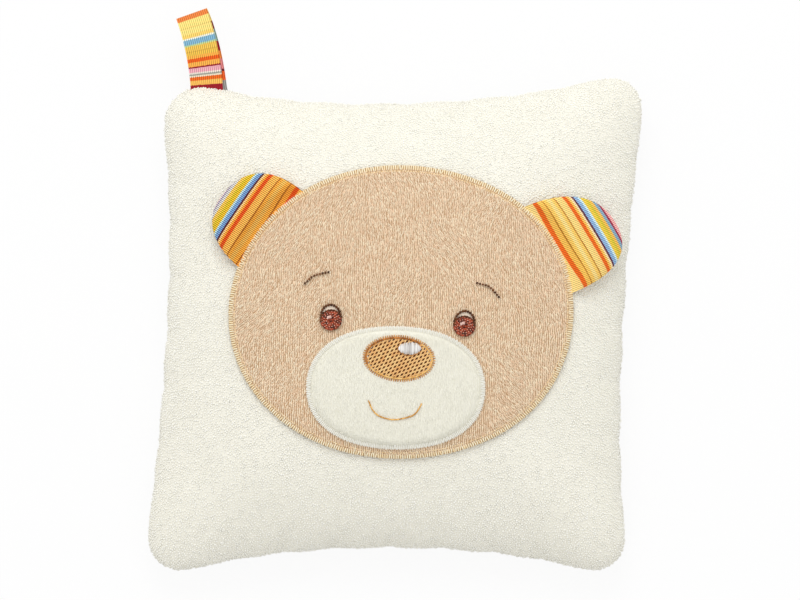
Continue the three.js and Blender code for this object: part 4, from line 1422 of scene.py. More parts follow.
@dataclass
class Back:
    """The cover's back: two halves, the flap that closes them and its tapes."""

    shop: Workshop
    cover: Cover
    grid: int = 97
    crowding: float = 1.3
    seam_gap: float = 0.45
    cloth: float = 1.2
    slit: float = -6.0
    gap: float = 0.3
    recess: float = 5.0
    lap: float = 9.0
    upper_flat: tuple[Pair, float] = ((0.2, 0.108), 0.0205)
    lower_flat: tuple[Pair, float] = ((0.2, 0.122), 0.0225)
    flap_flat: Pair = (0.116, 0.034)
    flap_rows: int = 30
    flap_columns: int = 90
    flap_corner: float = 8.0
    flap_edge: float = 3.0
    flap_round: Pair = (0.35, 0.3)
    flap_bend: float = 4.0
    hem: float = 4.0
    hem_corner: float = 6.0
    hem_groove: Pair = (0.25, 0.8)
    hem_sunk: float = 0.1
    hook_pitch: Pair = (1.6, 1.5)
    hook_sunk: float = 0.25
    loop_shift: Pair = (0.35, 0.2)
    tape_grid: tuple[int, int] = (60, 14)
    tape_edge: Pair = (0.2, 1.2)

    def build(self) -> None:
        """Builds every piece of the back."""
        share, angle = disc_grid(self.grid, self.crowding)
        x, y = self.cover.spread(share, angle, self.cover.pile)
        flat = 1 - self.cover.curl / self.cover.round_reach
        turn = np.clip((share - flat) / (1 - flat), 0, 1)
        low = self.cover.pile
        z = low + (self.cover.seam - self.seam_gap - low) * (1 - np.sqrt(1 - turn * turn))
        faces = grid_faces(self.grid, self.grid, 0, True)
        bowl = make_object("bowl", lifted(x, y, z).reshape(-1, 3), faces)
        self.half(bowl, "back_panel_upper", True)
        self.half(bowl, "back_panel_lower", False)
        drop(bowl)
        self.flap()
        self.hook_tape()
        self.loop_tape()

    def half(self, bowl: Object, node: str, upper: bool) -> None:
        """Cuts one half from the bowl and gives it its pile and its thickness.

        Args:
            bowl: The whole back.
            node: The CAD node that the half stands for.
            upper: Which half.
        """
        shape = bmesh.new()
        shape.from_mesh(bowl.data)
        edge = (self.slit if upper else self.slit - self.gap) * MM
        self.cut(shape, (0, edge, 0), (0, -1 if upper else 1, 0), True)
        if not upper:
            self.sink(shape, edge)
        panel = from_bmesh(node + "_cloth", shape)
        panel.data.shade_smooth()
        heights = np.array([v.co.z for v in panel.data.vertices]) / MM
        ys = np.array([v.co.y for v in panel.data.vertices]) / MM
        rests = upper | (ys < self.slit - 1) & (np.abs(heights - self.recess) > LEVEL)
        self.cover.mask(panel, np.where(rests, 1.0, 0.0))
        pile = self.cover.tufts(node + "_pile", panel, self.cover.back_spacing, seed=5)
        thick = panel.modifiers.new("cloth", "SOLIDIFY")
        thick.thickness, thick.offset = self.cloth * MM, -1.0
        whole = keep_shape(panel, node + "_cloth")
        settle(whole, CREAM_CLOTH, Body.COVER, [node])
        settle(pile, CREAM_PILE, Body.COVER)

    @staticmethod
    def cut(shape: bmesh.types.BMesh, spot: tuple, way: tuple, clear: bool = False) -> None:
        """Cuts a shape along a plane, in metres, and may clear what lies beyond it."""
        everything = shape.verts[:] + shape.edges[:] + shape.faces[:]
        bmesh.ops.bisect_plane(shape, geom=everything, plane_co=spot, plane_no=way, clear_outer=clear)

    def sink(self, shape: bmesh.types.BMesh, edge: float) -> None:
        """Sinks a recess for the flap into the lower half and draws its end out as a lap.

        Args:
            shape: The lower half.
            edge: Its upper edge, in metres.
        """
        low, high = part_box("closure_flap")
        side, end = high[0] + self.gap * MM, low[1] - self.gap * MM
        for spot, way in (((side, 0, 0), (1, 0, 0)), ((-side, 0, 0), (1, 0, 0)), ((0, end, 0), (0, 1, 0))):
            self.cut(shape, spot, way)
        middles = [(f, f.calc_center_median()) for f in shape.faces]
        inside = [f for f, middle in middles if abs(middle.x) < side and middle.y > end]
        raised = bmesh.ops.extrude_face_region(shape, geom=inside)["geom"]
        for vert in (v for v in raised if isinstance(v, bmesh.types.BMVert)):
            vert.co.z = self.recess * MM
            if vert.co.y > edge - TOUCH:
                vert.co.y = self.lap * MM
        left = [f for f in inside if f.is_valid]
        bmesh.ops.delete(shape, geom=left, context="FACES_ONLY")

    def flap(self) -> None:
        """Builds the flap, its pile and the stitches of its hem."""
        low, high = node_box("closure_flap")
        half, top, end = high[0], high[1], low[1]
        across = np.linspace(-half, half, self.flap_columns)
        curve = np.clip(np.abs(across) - (half - self.flap_corner), 0, self.flap_corner)
        ends = end + self.flap_corner - np.sqrt(self.flap_corner**2 - curve**2)
        down = np.linspace(0, 1, self.flap_rows)[:, None]
        y = top + (ends - top) * down
        x = np.broadcast_to(across, y.shape)
        edge = np.minimum(half - np.abs(x), y - ends)
        drawn = 1 - smooth(np.minimum(edge, self.flap_edge) / self.flap_edge)
        depth, width = self.hem_groove
        groove = depth * np.exp(-(((edge - self.hem) / width) ** 2))
        upper = lifted(x, y, high[2] - self.flap_round[0] * drawn - groove)
        lower = lifted(x, y, self.cover.pile + self.flap_round[1] * drawn + groove)
        flap = sheet_object("closure_flap_cloth", upper[:, ::-1], lower[:, ::-1])
        self.cover.mask(flap, np.concatenate([np.zeros(x.size), np.ones(x.size)]))
        pile = self.cover.tufts("closure_flap_pile", flap, self.cover.back_spacing, seed=9)
        hinge = Vector((0, self.slit * MM, 0))
        bend = hinge, hinge + Vector((0, -self.flap_bend * MM, 0))
        settle(flap, CREAM_CLOTH, Body.FLAP, ["closure_flap"], bend)
        settle(pile, CREAM_PILE, Body.FLAP, (), bend)
        inset, corner = half - self.hem, self.hem_corner
        line = [(-inset, top - corner), (-inset, end + self.flap_corner + self.hem)]
        for a in np.linspace(0, math.pi / 2, 8):
            round_y = end + self.hem + corner - corner * math.sin(a)
            line.append((-inset + corner - corner * math.cos(a), round_y))
        line += [(-q[0], q[1]) for q in reversed(line)]
        points = np.array([(a, b, high[2] - self.hem_sunk) for a, b in line])
        self.shop.sew("flap_hem_stitches", path_object(points, False), HEM_ROW, Body.FLAP, (), bend)

    def hook_tape(self) -> None:
        """Builds the tape with hooks on the flap."""
        low, high = node_box("hook_tape")
        tape = self.tape("hook_tape_cloth", low, high)
        settle(tape, HOOK_TAPE, Body.FLAP, ["hook_tape"])
        columns = np.arange(low[0] + 2, high[0] - 1.5, self.hook_pitch[0])
        x, y = np.meshgrid(columns, np.arange(low[1] + 1.5, high[1] - 1, self.hook_pitch[1]))
        points = lifted(x.ravel(), y.ravel(), high[2] - self.hook_sunk)
        settings = {"Size": 0.6, "Spin": 0.4, "Tip": 0.06, "Seed": 11}
        hooks = self.shop.strew("hook_tape_hooks", points, self.shop.hook, HOOKS, **settings)
        settle(hooks, HOOKS, Body.FLAP)

    def loop_tape(self) -> None:
        """Builds the brushed tape on the lap."""
        low, high = node_box("loop_tape")
        under, over = (np.array([0, 0, shift]) for shift in self.loop_shift)
        tape = self.tape("loop_tape_cloth", low + under, high + over)
        count = len(tape.data.vertices) // 2
        self.cover.mask(tape, np.concatenate([np.zeros(count), np.ones(count)]))
        loops = self.shop.pile.grow(
            "loop_tape_loops", tape, Shape=self.shop.tuft, Spacing=0.8 * MM, Size=0.55, Tilt=0.9, Seed=13,
            Material=LOOPS.material(),
        )
        settle(tape, LOOP_TAPE, Body.COVER, ["loop_tape"])
        settle(loops, LOOPS, Body.COVER)

    def tape(self, name: str, low: Array, high: Array) -> Object:
        """Makes a strip of tape with soft edges.

        Args:
            name: The tape's name.
            low: Lowest corner.
            high: Highest corner.

        Returns:
            The tape.
        """
        columns, rows = self.tape_grid
        x, y = np.meshgrid(np.linspace(low[0], high[0], columns), np.linspace(low[1], high[1], rows))
        edge = np.minimum(np.minimum(x - low[0], high[0] - x), np.minimum(y - low[1], high[1] - y))
        drop_by, width = self.tape_edge
        thin = drop_by * (1 - smooth(edge / width))
        return sheet_object(name, lifted(x, y, high[2] - drop_by - thin), lifted(x, y, low[2]))


@dataclass
class Bag:
    """The cotton bag inside the cover and the stones that fill it."""

    shop: Workshop
    cover: Cover
    fill: float = 0.8
    spacing: float = 9.2
    floor: float = 4.0
    headroom: float = 5.0
    footroom: float = 3.5
    rows: int = 12
    seam_height: float = 14.7
    cover_inset: float = 2.2
    bag_inset: float = 7.0

    def build(self) -> None:
        """Builds the bag, its seam and the stones."""
        for node in ("inner_bag_front", "inner_bag_back"):
            cloth = soft_copy(node, node + "_cloth", 1)
            settle(cloth, BAG_COTTON, Body.COVER, [node])
        self.seam("cover_seam_thread", self.cover_inset, COVER_SEAM)
        self.seam("inner_bag_seam_thread", self.bag_inset, BAG_SEAM)
        self.stones()

    def seam(self, node: str, inset: float, stitch: Stitch) -> None:
        """Sews slanted stitches round a seam.

        Args:
            node: The CAD node that they stand for.
            inset: How far inside the cover's edge they run.
            stitch: How they are sewn.
        """
        angle = np.linspace(-math.pi, math.pi, 360, endpoint=False)
        reach = self.cover.reach(angle) - inset
        points = lifted(reach * np.cos(angle), reach * np.sin(angle), self.seam_height)
        self.shop.sew(node + "_stitches", path_object(points, True), stitch, Body.COVER, [node])

    def stones(self) -> None:
        """Fills the bag with loose stones, closely packed."""
        above, below = (self.tree(n) for n in ("inner_bag_front", "inner_bag_back"))
        low, high = node_box("cherry_stones")
        d, points = self.spacing, []
        up, down = Vector((0, 0, 1)), Vector((0, 0, -1))
        places = range(-self.rows, self.rows + 1)
        for layer in range(int((high[2] - low[2]) / (d * LAYER_STEP)) + 1):
            z = low[2] + self.floor + layer * d * LAYER_STEP
            for row, place in product(places, places):
                x = (place + 0.5 * (row % 2) + 0.5 * (layer % 2)) * d
                y = (row * ROW_STEP + LAYER_SHIFT * (layer % 2)) * d
                spot = Vector((x, y, z))
                roof, floor = above.ray_cast(spot, up)[0], below.ray_cast(spot, down)[0]
                if roof and floor and roof.z - z > self.headroom and z - floor.z > self.footroom:
                    points.append((x, y, z))
        settings = {"Size": 0.97, "Spin": math.tau, "Tip": math.pi, "Seed": 17}
        stones = self.shop.strew("cherry_stones_loose", np.array(points), self.shop.stone, STONE, **settings)
        log.info("%d stones", len(points))
        settle(stones, STONE, Body.COVER, ["cherry_stones"])

    @staticmethod
    def tree(node: str) -> BVHTree:
        """Returns a CAD node's faces, to look up points in them, in millimetres."""
        points = [Vector(p) for p in world_points(node)]
        return BVHTree.FromPolygons(points, [tuple(p.vertices) for p in frame["nodes"][node].data.polygons])


# The face


@dataclass(frozen=True)
class Patch:
    """One piece of cloth or embroidery ground that lies on the front."""

    name: str
    oval: Oval
    foot: float
    puff: float
    roll: float
    sunk: float
    count: int
    pressed: float = 0.0


@dataclass
class Face:
    """The bear's face: patches, stitched borders and embroidery on the front."""

    shop: Workshop
    cover: Cover
    oval: Oval
    border: float = 2.4
    border_inset: float = 0.1
    line_inset: float = 0.35
    hem: float = 0.4
    muzzle: Oval = Oval((0.3, -25.4), (73.7, 50.9), -1.0, ((0, -0.014), (0, 0), (0, 0), (-0.018, 0)))
    muzzle_border: float = 2.2
    muzzle_press: float = 0.6
    muzzle_bare: float = 0.96
    nose: Oval = Oval((1.6, -13.9), (29.0, 18.6), -4.0)
    nose_hem: float = 0.8
    nose_bare: float = 0.9
    glint: Oval = Oval((5.9, -9.9), (9.0, 5.3), 0.0)
    lattice: tuple[Pair, Pair] = ((-1.74, -0.65), (-0.81, -1.69))
    lattice_threads: Pair = (0.64, 0.62)
    lattice_rows: int = 26
    lattice_reach: float = 20.0
    lattice_least: int = 6
    lattice_half: float = 9.0
    lattice_roll: float = 3.0
    lattice_lift: tuple[float, float, float] = (3.75, 0.8, 0.12)
    eyes: tuple[Oval, Oval] = (Oval((-25.7, 2.7), (8.9, 10.6), 8.0), Oval((27.8, 0.2), (8.9, 10.6), -8.0))
    iris_drop: float = 1.2
    iris_size: Pair = (8.4, 7.9)
    iris_rings: tuple[float, ...] = (0.1, 0.32, 0.54, 0.76, 0.94)
    sheen_rings: tuple[float, ...] = (0.45, 0.68, 0.88)
    sheen_start: float = 0.4
    shine: tuple[Pair, Pair] = ((-1.4, 0.9), (0.0, 1.3))
    brows: tuple[tuple[Pair, ...], tuple[Pair, ...]] = (
        ((-36.1, 16.2), (-32.5, 19.2), (-26.7, 20.7)), ((32.9, 16.3), (37.8, 14.8), (41.7, 10.7)),
    )
    mouth: tuple[Pair, ...] = (
        (-10.4, -31.4), (-8.9, -34.7), (-6.0, -37.2), (-0.3, -38.5), (6.2, -37.2), (8.7, -35.4),
        (10.5, -32.5),
    )

    def build(self) -> None:
        """Builds the whole face."""
        self.face_patch()
        self.borders()
        self.muzzle_patch()
        self.build_nose()
        for side, oval in zip(SIDES, self.eyes):
            self.build_eye(side, oval)
        for side, knots in zip(SIDES, self.brows):
            self.row(side + "_brow_stitches", curve_through(knots, 40), BROW_ROW, side + "_brow")
        self.row("mouth_stitches", curve_through(self.mouth, 80), MOUTH_ROW, "mouth")

    def face_patch(self) -> None:
        """Lays the beige patch and combs its nap."""
        outline = self.oval.shrunk(self.hem)
        part = Patch("face_patch_cloth", outline, foot=0.1, puff=1.55, roll=5.0, sunk=0.5, count=97)
        patch, spots = self.patch(part)
        inside = self.oval.shrunk(self.border).share(spots) < 1
        self.comb(patch, inside & (self.muzzle.share(spots) > self.muzzle_bare), FACE_NAP)
        self.settle_patch(patch, part, BEIGE_SHADED_CLOTH, "face_patch")

    def muzzle_patch(self) -> None:
        """Lays the cream patch and combs its nap."""
        outline, press = self.muzzle.shrunk(self.hem), self.muzzle_border * self.muzzle_press
        part = Patch("muzzle_patch_cloth", outline, 2.2, 1.7, roll=2.8, sunk=0.5, count=81, pressed=press)
        patch, spots = self.patch(part)
        inside = self.muzzle.shrunk(self.muzzle_border).share(spots) < 1
        self.comb(patch, inside & (self.nose.share(spots) > self.nose_bare), MUZZLE_NAP)
        self.settle_patch(patch, part, MUZZLE_CLOTH, "muzzle_patch")

    def patch(self, part: Patch) -> tuple[Object, Array]:
        """Lays a puffed oval of cloth on the front.

        Args:
            part: The patch.

        Returns:
            The piece and its points in plan.
        """
        share, angle = disc_grid(part.count)
        spots = part.oval.spots(share, angle)
        inside = np.clip(((1 - share) * min(part.oval.size) / 2 - part.pressed) / part.roll, 0, 1)
        top = self.cover.lay(spots, part.foot + part.puff * self.puffed(inside))
        under = self.cover.lay(spots, part.foot - part.sunk)
        return sheet_object(part.name, top, under), spots

    @staticmethod
    def puffed(inside: Array) -> Array:
        """Returns the share of its height that cloth has risen to, from 0 at its edge."""
        return 1 - (1 - inside) ** PUFF_POWER

    @staticmethod
    def settle_patch(obj: Object, part: Patch, finish: Finish, node: str) -> None:
        """Args:
            obj: The piece.
            part: Not used.
            finish: What it is made of.
            node: The CAD node that it stands for.
        """
        settle(obj, finish, Body.COVER, [node])

    def comb(self, patch: Object, shown: Array, nap: Nap) -> None:
        """Grows a combed nap on a patch.

        Args:
            patch: The cloth.
            shown: Which of its upper points grow nap.
            nap: How it is combed.
        """
        self.cover.mask(patch, np.concatenate([np.where(shown, 1.0, 0.0).ravel(), np.zeros(shown.size)]))
        fibres = self.shop.nap.grow(
            nap.name, patch, Shape=self.shop.fibre, Spacing=nap.spacing * MM, Size=nap.size,
            Comb=nap.bearing, Turn=nap.turn, Wander=nap.wander, Ruffle=nap.ruffle, Column=nap.column * MM,
            Gather=nap.gather[0], Gather_Low=nap.gather[1], Seed=nap.seed, Material=nap.finish.material(),
        )
        plan_map(fibres)
        settle(fibres, nap.finish, Body.COVER)

    def row(
        self, name: str, spots: Array, stitch: Stitch, node: str = "", closed: bool = False,
        span: Array | None = None,
    ) -> None:
        """Sews a row of stitches along a path in plan, as long as their span, for a node if one is named."""
        path = path_object(self.cover.lay(spots, stitch.lift), closed, self.cover.up(spots), span)
        self.shop.sew(name, path, stitch, Body.COVER, [node] if node else ())

    def borders(self) -> None:
        """Sews the borders of the face and the muzzle."""
        ring = self.oval.shrunk(self.border / 2 + self.border_inset).ring(300)
        self.row("face_border_stitches", ring, FACE_ZIGZAG, "face_border", True)
        # Dark ticks between the pale stitches: painted shade in the gaps.
        self.row("face_border_ticks", np.roll(ring, 1, axis=0), FACE_SHADE_TICKS, "", True)
        ring = self.oval.shrunk(self.border + self.line_inset).ring(300)
        self.row("face_border_line", ring, FACE_LINE, "", True)
        ring = self.muzzle.shrunk(self.muzzle_border / 2).ring(240)
        self.row("muzzle_border_stitches", ring, MUZZLE_ZIGZAG, "muzzle_border", True)

    def build_nose(self) -> None:
        """Embroiders the nose: a brown ground, a lattice of thread, rim, fringe and highlight."""
        outline = self.nose.shrunk(self.nose_hem)
        ground = Patch("nose_ground", outline, foot=3.5, puff=0.9, roll=3.0, sunk=0.4, count=41)
        settle(self.patch(ground)[0], BROWN_GROUND, Body.COVER)
        names = ("nose_lattice", ["nose"]), ("nose_lattice_cross", ())
        for number, (name, nodes) in enumerate(names):
            lines = self.lattice_lines(number)
            settings = {"Thread": self.lattice_threads[number] * MM, "Sides": 6, "Seed": 31 + number}
            obj = self.shop.threads.grow(name, lines, Material=TAN_THREAD.material(), **settings)
            drop(lines)
            plan_map(obj)
            settle(obj, TAN_THREAD, Body.COVER, nodes)
        self.row("nose_fringe", self.nose.shrunk(0.5).ring(160), NOSE_FRINGE, "nose_border", True)
        self.row("nose_rim", self.nose.shrunk(1.1).arc(55, 200, 80), NOSE_RIM)
        self.row("nose_rim_low", self.nose.shrunk(1.2).arc(205, 405, 80), NOSE_RIM_LOW)
        across = np.linspace(-0.96, 0.96, 40)
        middle = np.array(self.glint.centre) + np.outer(across, (self.glint.size[0] / 2, 0.0))
        self.row("nose_glint_satin", middle, GLINT_SATIN, "nose_glint", False, np.sqrt(1 - across**2))
        self.row("nose_glint_line", self.glint.arc(165, 330, 40, 1.06), GLINT_LINE)

    def lattice_lines(self, number: int) -> Object:
        """Lays one set of the nose's parallel threads.

        Args:
            number: Which set.

        Returns:
            The paths.
        """
        along, step = np.array(self.lattice[number]), np.array(self.lattice[1 - number])
        course = along / np.linalg.norm(along)
        inside = self.nose.shrunk(self.nose_hem)
        foot, puff, over = self.lattice_lift
        runs = np.linspace(-self.lattice_reach, self.lattice_reach, 201)[:, None] * course
        lines = []
        for row in range(-self.lattice_rows, self.lattice_rows + 1):
            run = runs + np.array(self.nose.centre) + (row + 0.5) * step
            run = run[inside.share(run) < 1]
            if len(run) > self.lattice_least:
                edge = np.clip((1 - inside.share(run)) * self.lattice_half / self.lattice_roll, 0, 1)
                lines.append(self.cover.lay(run, foot + puff * self.puffed(edge) + over * number))
        return path_object(lines, False)

    def build_eye(self, side: str, oval: Oval) -> None:
        """Embroiders an eye: pale ground, iris with pale stitches as painted sheen, dashed outlines and
        highlight.

        Args:
            side: Which eye.
            oval: Its outline.
        """
        outline = oval.shrunk(self.hem)
        ground = Patch(side + "_eye_ground", outline, foot=2.05, puff=0.55, roll=2.0, sunk=0.4, count=25)
        settle(self.patch(ground)[0], LID_THREAD, Body.COVER, [side + "_eye_glint"])
        iris = Oval((oval.centre[0], oval.centre[1] - self.iris_drop), self.iris_size, oval.turn)
        for number, reach in enumerate(self.iris_rings):
            stitch, node = replace(IRIS_ROW, seed=IRIS_ROW.seed + number), "" if number else side + "_eye"
            self.row(f"{side}_eye_iris_{number}", iris.ring(60, reach), stitch, node, True)
        # Pale rings over the iris: painted sheen.
        for number, reach in enumerate(self.sheen_rings):
            stitch = replace(SHEEN_ROW, seed=SHEEN_ROW.seed + number)
            ring = iris.ring(60, reach, self.sheen_start)
            self.row(f"{side}_eye_sheen_{number}", ring, stitch, "", True)
        self.row(side + "_eye_lid", outline.arc(-5, 190, 60), LID_ROW, side + "_eye_outline")
        self.row(side + "_eye_under", oval.shrunk(0.3).arc(200, 345, 60), UNDER_ROW)
        self.row(side + "_eye_fold", iris.arc(35, 160, 60), FOLD_ROW)
        self.row(side + "_eye_shine", np.array([iris.centre]) + np.array(self.shine), SHINE_ROW)


# Ears and ribbon


@dataclass
class Ear:
    """One padded ear of striped cotton, tucked under the face's border."""

    shop: Workshop
    cover: Cover
    face: Oval
    name: str
    body: Body
    finish: StripedFinish
    depth: float
    skew: float
    weave_turn: float
    rise: float = 3.6
    roll: float = 7.0
    squareness: float = 2.4
    tuck: float = 1.7
    least: float = 0.8
    corner: float = 0.985
    crowding: float = 1.25
    cloth: float = 0.5
    rib_height: float = 0.1
    rib_fade: float = 1.5
    hem_allowance: float = 4.0
    area_share: float = 1.62
    fill: float = 0.5
    bend: Pair = (0.002, 0.014)
    search: Pair = (-12.0, 14.0)
    columns: int = 161
    rows: int = 61
    place: Array = field(init=False)
    axes: Array = field(init=False)
    half: float = field(init=False)

    def __post_init__(self) -> None:
        """Reads the ear's own axes from the frame."""
        self.place, along = joint_of(self.body)
        plate = world_points(self.name + "_ear_back")
        spread = plate - plate.mean(axis=0)
        up = np.linalg.eigh(spread.T @ spread)[1][:, 0]
        up = up * np.sign(up[2])
        out = np.cross(up, along)
        out = out / np.linalg.norm(out)
        self.axes = np.stack([along, out, np.cross(along, out)])
        self.half = float(np.abs((plate - self.place) @ along).max())

    def arch(self, share: Array) -> Array:
        """Returns the ear's outline, as a share of its reach, at a share of its other reach."""
        return (1 - share**self.squareness) ** (1 / self.squareness)

    def build(self) -> None:
        """Builds both cloths and the wadding."""
        q = np.sin(np.linspace(-1, 1, self.columns) * math.pi / 2 * self.corner)
        t = np.linspace(0, 1, self.rows)[:, None]
        x = np.broadcast_to(q * self.half, (self.rows, self.columns))
        start = np.array([self.hem(a) for a in q * self.half]) - self.tuck
        end = np.maximum(self.depth * self.arch(np.abs(q)), start + self.least)
        y = start + (end - start) * (1 - (1 - t) ** self.crowding)
        a = (end - y) + TINY
        b = self.half * self.arch(np.clip(y / self.depth, 0, 0.999)) - np.abs(x)
        edge = np.clip(1 / (1 / a + 1 / np.maximum(b, TINY)), 0, None)
        dome = np.sqrt(1 - (1 - np.clip(edge / self.roll, 0, 1)) ** 2)
        from_hem = (y - start) / self.roll
        turn = math.radians(self.weave_turn)
        across, along = x * math.cos(turn) - y * math.sin(turn), y * math.cos(turn) + x * math.sin(turn)
        cloth = np.stack([across, along], -1)
        ribs = self.rib_height * np.cos(across * math.tau / self.finish.rib)
        ribs = ribs * np.clip(edge / self.rib_fade, 0, 1)
        plan = x + self.skew * y
        heights = {
            "front": (0.3 + self.rise * dome + ribs, self.rise * dome * 0.97 - 0.1),
            "back": (-0.15 - 0.25 * dome, -0.15 - self.cloth - 0.3 * dome),
        }
        hinge, out = Vector(self.place * MM), Vector(self.axes[1])
        bend = hinge + out * self.bend[0], hinge + out * self.bend[1]
        filling = f"{self.name}_ear_wadding_fill"
        for part, (upper, lower) in heights.items():
            top = self.world(plan, y, upper, from_hem, 0.75)
            under = self.world(plan, y, lower, from_hem, 0.45)
            node = f"{self.name}_ear_{part}"
            piece = sheet_object(node + "_cloth", top, under, cloth)
            settle(piece, self.finish, self.body, [node], bend)
        inner = (slice(6, -3), slice(12, -12))
        top = self.world(plan, y, self.rise * dome * 0.9 - 0.35, from_hem, 0.4)[inner][::3, ::4]
        under = self.world(plan, y, -0.05 - 0.2 * dome, from_hem, 0.3)[inner][::3, ::4]
        wadding = sheet_object(filling, top, under)
        settle(wadding, WADDING, self.body, [f"{self.name}_ear_wadding"], bend)

    def hem(self, x: float) -> float:
        """Finds where the face's outline crosses a line out from the ear's fold.

        Args:
            x: Place of the line across the ear.

        Returns:
            The crossing's distance from the fold.
        """
        low, high = self.search
        for _ in range(24):
            middle = (low + high) / 2
            spot = (self.place + x * self.axes[0] + middle * self.axes[1])[None, :2]
            if self.face.share(spot)[0] < 1:
                low = middle
            else:
                high = middle
        return low

    def world(self, x: Array, y: Array, z: Array, from_hem: Array, sewn: float) -> Array:
        """Turns the ear's own points into the frame's, with the hem sewn down on the front.

        Args:
            x: Across the ear.
            y: Out from the fold.
            z: Up from the ear's plane.
            from_hem: 0 at the hem and 1 where the ear is free of it.
            sewn: Height above the front at the hem.

        Returns:
            The points.
        """
        free = smooth(from_hem)
        own = np.stack([x, y, z * free], -1)
        points = self.place + own @ self.axes
        low = self.cover.lay(points[..., :2], sewn)
        points[..., 2] = low[..., 2] * (1 - free) + points[..., 2] * free
        return points


@dataclass
class RibbonLoop:
    """The striped ribbon, folded double and sewn into the seam."""

    width: float = 13.0
    length: float = 29.8
    bulge: float = 3.0
    bulge_share: float = 1.3
    apart: float = 0.35
    root: float = 2.5
    lean: Pair = (4.0, 19.5)
    aside: float = -0.7
    slip: float = 1.9
    ribbon: float = 0.5
    rib_height: float = 0.06
    columns: int = 79
    rows: int = 181
    bend: float = 0.005

    def build(self) -> None:
        """Builds the ribbon."""
        place, along = joint_of(Body.LOOP)
        turn = np.linspace(0, math.tau, self.rows)
        up = (self.length + self.root) * (1 - np.cos(turn)) / 2 - self.root
        z = self.bulge * np.sin(turn) * (1 - np.cos(turn)) / self.bulge_share
        z = z + self.apart * np.sign(np.sin(turn)) * np.minimum(1, np.abs(turn - math.pi) * 4)
        step = np.hypot(np.gradient(up), np.gradient(z))
        run = np.concatenate([[0], np.cumsum((step[1:] + step[:-1]) / 2)])
        middle, heading = self.middle(up)
        side = np.stack([heading[:, 1], -heading[:, 0]], -1)
        slip = self.aside + self.slip * np.clip((turn - math.pi) / math.pi, 0, 1)
        across = np.linspace(-0.5, 0.5, self.columns) * self.width
        normal = np.stack([np.gradient(z), -np.gradient(up)], -1)
        normal = normal / np.linalg.norm(normal, axis=1)[:, None]
        flat = middle[:, None, :] + side[:, None, :] * (across[None, :] + slip[:, None])[..., None]
        ribs = self.rib_height * np.cos(across * math.tau / RIBBON.rib)
        thick = np.broadcast_to(self.ribbon / 2 + ribs, flat.shape[:2])
        sheets = []
        for way in (-1, 1):
            xy = flat + way * (heading * normal[:, :1])[:, None, :] * thick[..., None]
            height = z[:, None] + way * normal[:, 1:] * thick
            sheets.append(place + np.concatenate([xy, height[..., None]], -1))
        cloth = np.stack(np.broadcast_arrays(across[None, :], run[:, None] - self.root), -1)
        ribbon = sheet_object("hanging_loop_ribbon", sheets[0], sheets[1], cloth)
        base, out = Vector(place * MM), Vector(np.cross((0.0, 0.0, 1.0), along))
        settle(ribbon, RIBBON, Body.LOOP, ["hanging_loop"], (base, base + out * self.bend))

    def middle(self, up: Array) -> tuple[Array, Array]:
        """Runs the ribbon's middle line, which leans over more and more.

        Args:
            up: Distances along it from the seam.

        Returns:
            Points in plan from the seam, and the line's direction at each.
        """
        fine = np.linspace(-self.root, self.length, 400)
        share = np.clip(fine / self.length, 0, 1)
        angle = np.radians(self.lean[0] + (self.lean[1] - self.lean[0]) * share)
        course = np.stack([-np.sin(angle), np.cos(angle)], -1)
        points = np.concatenate([[[0, 0]], np.cumsum(course[1:] * (fine[1] - fine[0]), axis=0)])
        points = points - np.array([np.interp(0, fine, points[:, k]) for k in (0, 1)])
        spots = np.stack([np.interp(up, fine, points[:, k]) for k in (0, 1)], -1)
        ways = np.stack([np.interp(up, fine, course[:, k]) for k in (0, 1)], -1)
        return spots, ways


# The studio


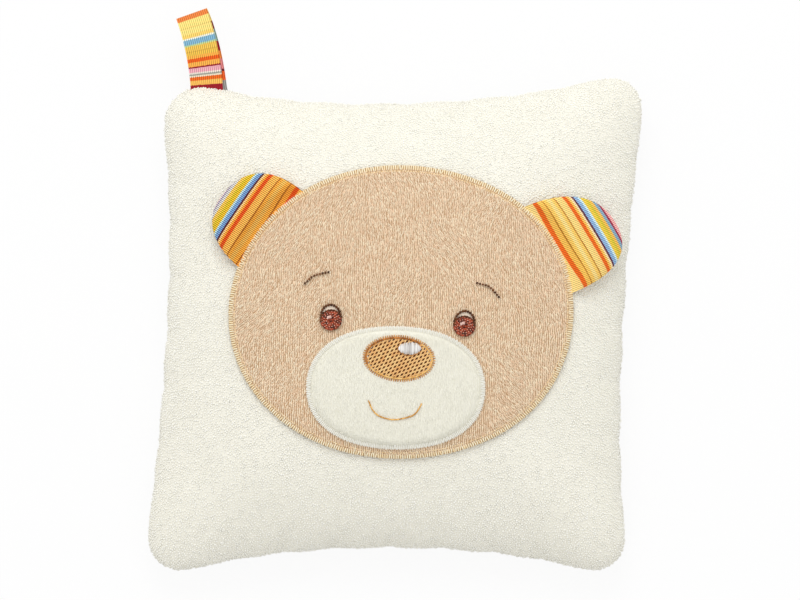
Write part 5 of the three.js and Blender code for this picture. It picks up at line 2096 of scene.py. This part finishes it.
@dataclass
class Studio:
    """Camera, light and floor."""

    middle: Pair = (2.0, 9.5)
    width: float = 322.56
    plane: float = 15.0
    distance: float = 6000.0
    sensor: float = 36.0
    far: float = 50.0
    key_place: tuple[float, float, float] = (-0.08, 0.8, 1.0)
    key_size: float = 0.8
    key_power: float = 5.8
    ambient: float = 0.815
    floor_reach: float = 6000.0
    floor_height: float = -0.4
    floor_grey: float = 0.9
    floor_glow: float = 0.9

    def build(self) -> None:
        """Sets up the scene round the object."""
        scene = bpy.context.scene
        scene.view_settings.view_transform = "Standard"
        data = bpy.data.cameras.new("camera")
        data.sensor_width = self.sensor
        data.lens = self.sensor * self.distance / self.width
        data.clip_end = self.far
        camera = add_object("camera", data)
        camera.location = (self.middle[0] * MM, self.middle[1] * MM, (self.plane + self.distance) * MM)
        scene.camera = camera
        lamp = bpy.data.lights.new("key", "AREA")
        lamp.shape = "DISK"
        lamp.size = self.key_size
        lamp.energy = self.key_power
        key = add_object("key", lamp)
        key.location = self.key_place
        key.rotation_euler = (-Vector(self.key_place)).to_track_quat("-Z", "Y").to_euler()
        self.sky(scene)
        self.floor()

    def sky(self, scene: bpy.types.Scene) -> None:
        """Makes the surroundings white to look at and dimmer as light.

        Args:
            scene: The scene.
        """
        world = bpy.data.worlds.new("studio")
        scene.world = world
        world.use_nodes = True
        graph = Graph(world.node_tree)
        rays = graph.add("ShaderNodeLightPath").outputs
        bounced = graph.math("MAXIMUM", rays["Is Glossy Ray"], rays["Is Transmission Ray"])
        seen = graph.math("MAXIMUM", rays["Is Camera Ray"], bounced)
        strength = graph.math("ADD", graph.math("MULTIPLY", seen, 1 - self.ambient), self.ambient)
        background = world.node_tree.nodes["Background"]
        graph.feed(strength, background, "Strength")
        background.inputs["Color"].default_value = WHITE

    def floor(self) -> None:
        """Lays a pale floor that stays white apart from a soft shadow."""
        points = np.array([(-1, -1), (1, -1), (1, 1), (-1, 1)]) * self.floor_reach
        floor = make_object("floor", lifted(points[:, 0], points[:, 1], self.floor_height), [(0, 1, 2, 3)])
        material = bpy.data.materials.new("floor")
        material.use_nodes = True
        graph = Graph(material.node_tree)
        shader = material.node_tree.nodes["Principled BSDF"]
        shader.inputs["Base Color"].default_value = (*[self.floor_grey] * 3, 1)
        shader.inputs["Roughness"].default_value = 1.0
        shader.inputs["Specular IOR Level"].default_value = 0.0
        glow = graph.add("ShaderNodeEmission", {"Color": WHITE, "Strength": 1.0})
        rays = graph.add("ShaderNodeLightPath").outputs
        seen = graph.math("MULTIPLY", rays["Is Camera Ray"], self.floor_glow)
        mix = graph.add("ShaderNodeMixShader", {0: seen, 1: shader.outputs[0], 2: glow.outputs[0]})
        graph.feed(mix.outputs[0], material.node_tree.nodes["Material Output"], "Surface")
        floor.data.materials.append(material)


def main() -> None:
    """Dresses the pillow and sets the studio."""
    logging.basicConfig(level=logging.INFO, format="%(message)s")
    shop = Workshop()
    oval = Oval((3.0, 4.8), (141.5, 118.1), 2.3, FACE_WAVES)
    cover = Cover(shop, oval)
    cover.front()
    Back(shop, cover).build()
    Bag(shop, cover).build()
    Face(shop, cover, oval).build()
    ears = (
        Ear(shop, cover, oval, "left", Body.LEFT_EAR, EAR_LEFT_SHADED, depth=25.8, skew=-0.04, weave_turn=-8.0),
        Ear(shop, cover, oval, "right", Body.RIGHT_EAR, EAR_RIGHT, depth=30.0, skew=0.18, weave_turn=0.0),
    )
    for ear in ears:
        ear.build()
    RibbonLoop().build()
    shop.close()
    Studio().build()


if __name__ == "__main__":
    main()
